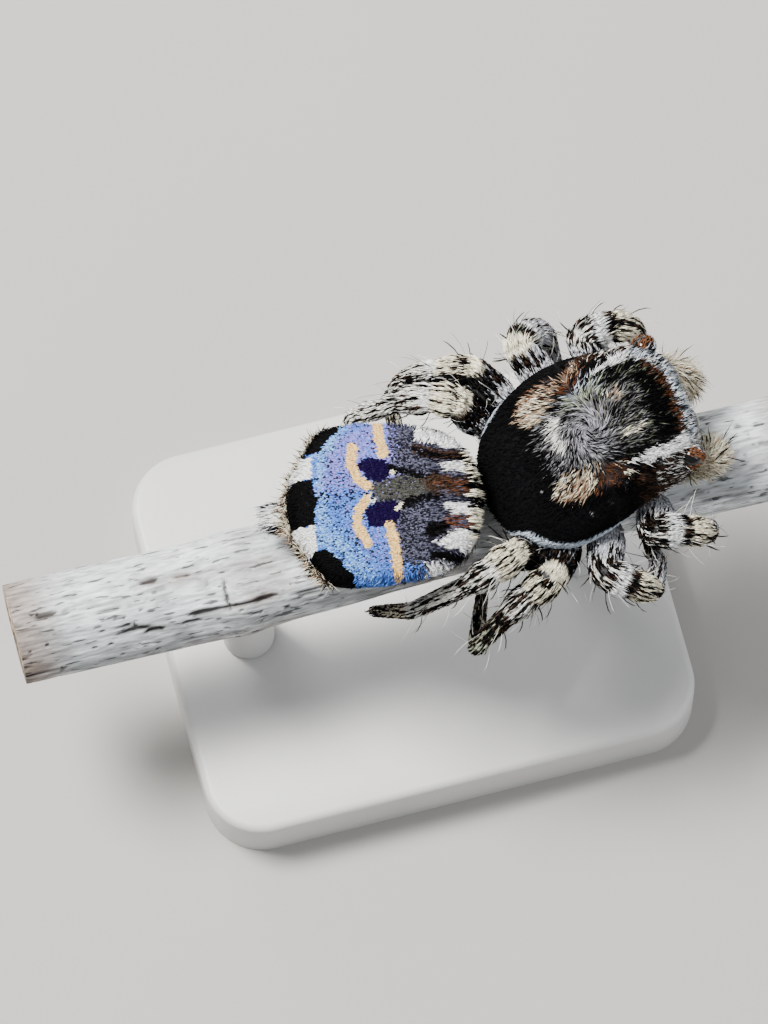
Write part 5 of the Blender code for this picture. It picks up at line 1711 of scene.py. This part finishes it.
@dataclass
class Twig:
    """The cut length of weathered twig that the spider grips."""

    around: int = 168
    along: int = 480
    cracks: tuple[tuple[float, float, float, float], ...] = (
        (-2.46, -1.48, 133.0, 0.017), (-3.96, -3.66, 95.0, 0.016), (-3.46, -3.02, 106.0, 0.011),
        (-3.38, -2.96, 128.0, 0.011), (-2.92, -2.62, 142.0, 0.015), (-2.53, -2.26, 141.0, 0.013),
        (-2.88, -2.6, 83.0, 0.012), (-2.54, -2.26, 86.0, 0.011), (2.4, 3.1, 112.0, 0.016),
        (-0.9, -0.2, 232.0, 0.016), (0.7, 1.6, 300.0, 0.018), (-3.6, -2.7, 20.0, 0.016),
        (2.2, 3.2, 40.0, 0.014),
    )

    @staticmethod
    def centre(x: Array) -> Array:
        """Middle of the twig at places along it."""
        return np.stack((x, 0.02 * np.sin(1.1 * x), TWIG_AXIS_Z + 0.02 * np.sin(0.8 * x + 1.0)), axis=-1)

    @staticmethod
    def radius(x: Array, angle: Array) -> Array:
        """Outer radius of the bark."""
        ring = 0.03 * np.exp(-(((x + 1.85) / 0.22) ** 2))
        return TWIG_RADIUS + 0.012 * np.sin(3 * angle + 0.6 * x) + 0.008 * np.sin(5 * angle - 1.3 * x) + ring

    def relief(self, x: Array, angle: Array) -> tuple[Array, Array, Array]:
        """Work out the bark's cracks, pits and ridges.

        Args:
            x: Places along the twig.
            angle: Places round it.

        Returns:
            Heights of the bark, how deep in a crack each place is, and how brown it is.
        """
        ring = np.stack((np.cos(angle), np.sin(angle)), axis=1) * TWIG_RADIUS

        def cells(long: float, wide: float, seed: int) -> Array:
            """Noise in cells of a length along the twig and a width round it."""
            return lattice_noise(np.column_stack((x / long, ring / wide)), 1.0, seed)

        grain, fine = cells(0.7, 0.045, 11), cells(0.22, 0.02, 17)
        plates, gate = cells(0.8, 0.3, 37), cells(0.6, 0.25, 29)
        split = ramp(cells(0.6, 0.03, 23), 0.8, 0.92) * ramp(gate, 0.42, 0.6)
        pits = ramp(cells(0.09, 0.04, 31), 0.82, 0.92) * ramp(gate, 0.3, 0.5)
        under = ramp(np.cos(angle - math.radians(165.0)), 0.15, 0.75)
        depth = np.maximum(split, 0.8 * pits) * (0.35 + 0.65 * np.maximum(under, ramp(x, -0.5, 1.5)))
        across = np.abs(x + 2.0 + 0.05 * (lattice_noise(angle[:, None], 0.1, 53) - 0.5))
        turned = ramp(np.degrees(angle), 100.0, 106.0) * ramp(np.degrees(angle), 140.0, 135.0)
        depth = np.maximum(depth, np.exp(-((across / 0.017) ** 2)) * turned)
        rusty = np.zeros(len(x))
        for start, end, degrees, wide in self.cracks:
            turn = np.abs((angle - math.radians(degrees) + np.pi) % (2 * np.pi) - np.pi) * TWIG_RADIUS
            wander = 0.03 * (lattice_noise(x[:, None], 0.12, int(degrees)) - 0.5)
            inside = ramp(x, start, start + 0.1) * ramp(x, end, end - 0.1)
            off = (turn + wander) / (wide * (0.3 + inside))
            line = np.minimum(1.5 * np.exp(-(off**2)) * inside, 1.0)
            depth = np.maximum(depth, line)
            rusty = np.maximum(rusty, np.exp(-((turn / (3 * wide)) ** 2)) * inside * ramp(plates, 0.35, 0.6))
        height = 0.014 * (grain - 0.5) + 0.007 * (fine - 0.5) + 0.014 * (plates - 0.5) - 0.035 * depth
        brown = 0.8 * ramp(x, -3.55, -4.1) + 0.35 * ramp(plates, 0.66, 0.8)
        brown = brown + 0.6 * ramp(x, 3.55, 3.9) + 0.5 * rusty
        return height, np.clip(depth + 0.45 * ramp(fine, 0.34, 0.18), 0.0, 1.0), np.clip(brown, 0.0, 1.0)

    def build(self, shop: Workshop) -> None:
        """Build the twig with its bark relief and its two cut ends.

        Args:
            shop: Keeps the pieces.
        """
        bm = bmesh.new()
        bmesh.ops.create_cone(bm, cap_ends=True, segments=self.around, radius1=1.0, radius2=1.0, depth=1.0)
        bmesh.ops.rotate(bm, cent=(0, 0, 0), matrix=Matrix.Rotation(math.pi / 2, 3, "Y"), verts=bm.verts)
        caps = [face for face in bm.faces if len(face.verts) > 4]
        for share, cap in itertools.product((0.75, 0.5, 0.28, 0.12), caps):
            bmesh.ops.inset_individual(bm, faces=[cap], thickness=0.0)
            size = math.hypot(cap.verts[0].co.y, cap.verts[0].co.z)
            bmesh.ops.scale(bm, vec=(1.0, share / size, share / size), verts=cap.verts)
        sides = [edge for edge in bm.edges if abs(edge.verts[0].co.x - edge.verts[1].co.x) > 0.5]
        bmesh.ops.subdivide_edges(bm, edges=sides, cuts=self.along, use_grid_fill=False)
        mesh = mesh_from(bm, "twig_bark")
        flat = vertex_places(mesh)
        angle = np.arctan2(flat[:, 2], flat[:, 1])
        share = np.hypot(flat[:, 1], flat[:, 2])
        x = TWIG_START + (flat[:, 0] + 0.5) * (TWIG_END - TWIG_START)
        height, depth, brown = self.relief(x, angle)
        end = (np.abs(flat[:, 0]) > 0.499) & (share < 0.99)
        across = np.column_stack((share * np.cos(angle), share * np.sin(angle)))
        splinter = 0.05 * (0.9 - lattice_noise(across, 0.09, 41))
        x = x - np.where(end, np.sign(flat[:, 0]) * splinter, 0.0)
        radius = share * (self.radius(x, angle) + height - 0.012)
        ring = np.stack((np.zeros(len(x)), np.cos(angle) * radius, np.sin(angle) * radius), axis=1)
        set_places(mesh, self.centre(x) + ring)
        soft = lattice_noise(np.column_stack((x / 1.1, np.cos(angle), np.sin(angle))), 0.5, 43)
        colours = np.array(WEATHERED) * (0.72 + 0.55 * soft)[:, None]
        # Darken the side of the twig turned away from the key lamp, in soft patches: painted shade.
        shade_patches = ramp(lattice_noise(np.column_stack((x / 0.25, ring[:, 1:] / 0.08)), 1.0, 59), 0.35, 0.65)
        under = ramp(np.cos(angle - math.radians(175.0)), 0.45, 0.95)
        colours = colours * (1.0 - 0.42 * under * shade_patches)[:, None]
        colours = blend(colours, STAINED, brown * 0.85)
        colours = blend(colours, CRACK, depth * 0.92)
        rings = 0.5 + 0.5 * np.sin(share * 46.0)
        wood = blend(plain(WOOD, len(x)), GROWTH_RING, rings)
        paint(mesh, np.where(end[:, None], wood, colours))
        shop.keep(mesh, Slot.BARK, shop.finishes.bark, ("twig",))


@dataclass
class DisplayStand:
    """A flat base and two rods that carry the twig."""

    length: float = 5.2
    width: float = 4.2
    thick: float = 0.7
    corner: float = 0.6
    edge: float = 0.08
    rod_radius: float = 0.27
    rod_places: tuple[float, float] = (-1.75, 1.75)
    gap: float = 0.03

    def build(self, shop: Workshop) -> None:
        """Build the base and rods.

        Args:
            shop: Keeps the pieces.
        """
        bm = bmesh.new()
        bmesh.ops.create_cube(bm, size=1.0)
        bmesh.ops.scale(bm, vec=(self.length, self.width, self.thick), verts=bm.verts)
        bmesh.ops.translate(bm, vec=(0, 0, self.thick / 2), verts=bm.verts)
        upright = [edge for edge in bm.edges if abs(edge.verts[0].co.z - edge.verts[1].co.z) > 0.1]
        bmesh.ops.bevel(bm, geom=upright, offset=self.corner, affect="EDGES", segments=16, profile=0.5,
                        material=-1)
        self.round_top(bm, self.thick, self.edge)
        self.keep(shop, bm, "display_base", "stand_base")
        for letter, x in zip("ab", self.rod_places):
            foot = self.thick + self.gap
            head = float(Twig.centre(np.array(x))[2]) - TWIG_RADIUS - 0.055
            bm = bmesh.new()
            bmesh.ops.create_cone(bm, cap_ends=True, segments=64, radius1=self.rod_radius,
                                  radius2=self.rod_radius, depth=head - foot)
            bmesh.ops.translate(bm, vec=(x, 0, (head + foot) / 2), verts=bm.verts)
            self.round_top(bm, head, self.gap)
            self.keep(shop, bm, f"display_rod_{letter}", f"stand_rod_{letter}")

    @staticmethod
    def round_top(bm: bmesh.types.BMesh, height: float, offset: float) -> None:
        """Round the edges of a shape's top."""
        rim = [edge for edge in bm.edges if all(vert.co.z > height - 1e-4 for vert in edge.verts)]
        bmesh.ops.bevel(bm, geom=rim, offset=offset, affect="EDGES", segments=5, profile=0.5, material=-1)

    @staticmethod
    def keep(shop: Workshop, bm: bmesh.types.BMesh, name: str, node: str) -> None:
        """Keep one piece of the stand, its flat faces shaded flat."""
        mesh = mesh_from(bm, name)
        mesh.set_sharp_from_angle(angle=math.radians(40))
        shop.keep(mesh, Slot.STAND, shop.finishes.stand, (node,), smooth=False)


class Finishes:
    """Every material of the model and its studio."""

    def __init__(self) -> None:
        """Build each material once."""
        groups = NodeGroups()
        made = {finish.name: finish.build(groups) for finish in self.plans()}
        self.hair, self.scales, self.bristle = made["lying_hair"], made["fan_scales"], made["fine_bristle"]
        self.shield, self.plate, self.skin = made["shield_cuticle"], made["plate_cuticle"], made["soft_skin"]
        self.horn, self.lens, self.bark = made["dark_horn"], made["eye_lens"], made["weathered_bark"]
        self.stand, self.floor = made["stand_plastic"], made["pale_floor"]

    @staticmethod
    def plans() -> tuple[Finish, ...]:
        """The finishes' colours, gloss and grain."""
        return (
            Finish("lying_hair", roughness=0.7, specular=0.03, mottle=0.1),
            Finish("fan_scales", roughness=0.6, specular=0.04, mottle=0.12, mottle_scale=22000.0),
            Finish("fine_bristle", roughness=0.4, specular=0.3, mottle=0.1),
            Finish("shield_cuticle", roughness=0.6, specular=0.05, grain_scale=60000.0, grain_depth=0.004),
            Finish("plate_cuticle", roughness=0.6, specular=0.08, grain_scale=50000.0, grain_depth=0.004),
            Finish("soft_skin", roughness=0.55, specular=0.25, grain_scale=45000.0, grain_depth=0.006),
            Finish("dark_horn", roughness=0.28, colour=(0.02, 0.01, 0.007), mottle=0.3, grain_scale=30000.0,
                   grain_depth=0.003, coat=0.3),
            Finish("eye_lens", roughness=0.07, colour=(0.0022, 0.0018, 0.002), mottle=0.2,
                   mottle_scale=9000.0),
            Finish("weathered_bark", roughness=0.82, specular=0.2, mottle=0.38, mottle_scale=26000.0,
                   grain_scale=26000.0, stretch=(0.2, 1.0, 1.0), fleck_shade=0.25, grain_depth=0.012),
            Finish("stand_plastic", roughness=0.42, colour=(0.56, 0.555, 0.54), mottle=0.03,
                   mottle_scale=900.0, grain_scale=9000.0, grain_depth=0.002),
            Finish("pale_floor", roughness=0.8, colour=(0.4, 0.385, 0.365), mottle=0.04, mottle_scale=60.0,
                   specular=0.2),
        )


@dataclass
class Studio:
    """The floor, the soft lights and the camera at the photo's angle."""

    turn: float = math.radians(14.7)
    tilt: float = math.radians(18.0)
    distance: float = 80.0
    frame_width: float = 10.24
    floor_reach: float = 300.0
    room_light: float = 0.38
    target: tuple[float, float, float] = (-0.3, 0.006, 3.65)

    def build(self, finishes: Finishes) -> None:
        """Set up everything round the model.

        Args:
            finishes: The materials.
        """
        scene = bpy.context.scene
        bm = bmesh.new()
        bmesh.ops.create_grid(bm, x_segments=8, y_segments=8, size=self.floor_reach)
        mesh = mesh_from(bm, "studio_floor")
        mesh.transform(Matrix.Scale(METRES, 4))
        mesh.materials.append(finishes.floor)
        floor = bpy.data.objects.new("studio_floor", mesh)
        scene.collection.objects.link(floor)
        north = Vector((math.sin(self.turn), math.cos(self.turn), 0.0))
        right = Vector((math.cos(self.turn), -math.sin(self.turn), 0.0))
        sky = Vector((0.0, 0.0, 1.0))
        up = north * math.cos(self.tilt) + sky * math.sin(self.tilt)
        back = sky * math.cos(self.tilt) - north * math.sin(self.tilt)
        camera = bpy.data.cameras.new("photo_view")
        camera.sensor_width = 36.0
        camera.lens = camera.sensor_width * self.distance / self.frame_width
        camera.clip_start = 0.001
        camera.clip_end = 10.0
        matrix = Matrix((right, up, back)).transposed().to_4x4()
        matrix.translation = (Vector(self.target) + back * self.distance) * METRES
        scene.camera = self.hang("photo_view", camera, matrix)
        self.lamp("key", (-30.0, 25.0, 75.0), 28.0, 0.2, (1.0, 0.985, 0.96))
        self.lamp("fill", (55.0, -30.0, 45.0), 60.0, 0.03, (0.93, 0.96, 1.0))
        self.lamp("rim", (-20.0, 65.0, 30.0), 40.0, 0.03, (1.0, 1.0, 1.0))
        world = bpy.data.worlds.new("soft_room")
        world.use_nodes = True
        glow = world.node_tree.nodes["Background"]
        glow.inputs["Color"].default_value = (0.88, 0.91, 0.95, 1.0)
        glow.inputs["Strength"].default_value = self.room_light
        scene.world = world

    @staticmethod
    def hang(name: str, data: bpy.types.ID, matrix: Matrix) -> bpy.types.Object:
        """Put a camera or lamp in the scene, and return its object."""
        holder = bpy.data.objects.new(name, data)
        holder.matrix_world = matrix
        bpy.context.scene.collection.objects.link(holder)
        return holder

    def lamp(self, name: str, place: tuple[float, float, float], size: float, power: float,
             colour: Colour) -> None:
        """Hang one soft square lamp that faces the model.

        Args:
            name: Its name.
            place: Where it hangs, in millimetres.
            size: Its width, in millimetres.
            power: Its power, in watts.
            colour: Its colour.
        """
        light = bpy.data.lights.new(name, "AREA")
        light.size = size * METRES
        light.energy = power
        light.color = colour
        matrix = (Vector(place) - Vector(self.target)).to_track_quat("Z", "Y").to_matrix().to_4x4()
        matrix.translation = Vector(place) * METRES
        self.hang(name, light, matrix)


def main() -> None:
    """Build the whole model in order."""
    logging.basicConfig(level=logging.INFO, format="%(message)s")
    shop = Workshop(Finishes())
    Studio().build(shop.finishes)
    Twig().build(shop)
    DisplayStand().build(shop)
    Carapace().build(shop)
    FanPlate().build(shop)
    hindbody, head, legs = Hindbody(), Head(), Legs()
    coats = legs.build(shop) + hindbody.build(shop) + head.build(shop)
    flesh = hindbody.flesh() + head.flesh() + [(leg.surface(), 32, 120) for leg in LEGS]
    BodySkin().build(shop, flesh, coats)
    LOG.info("whole model: %d triangles", shop.triangles)


if __name__ == "__main__":
    main()
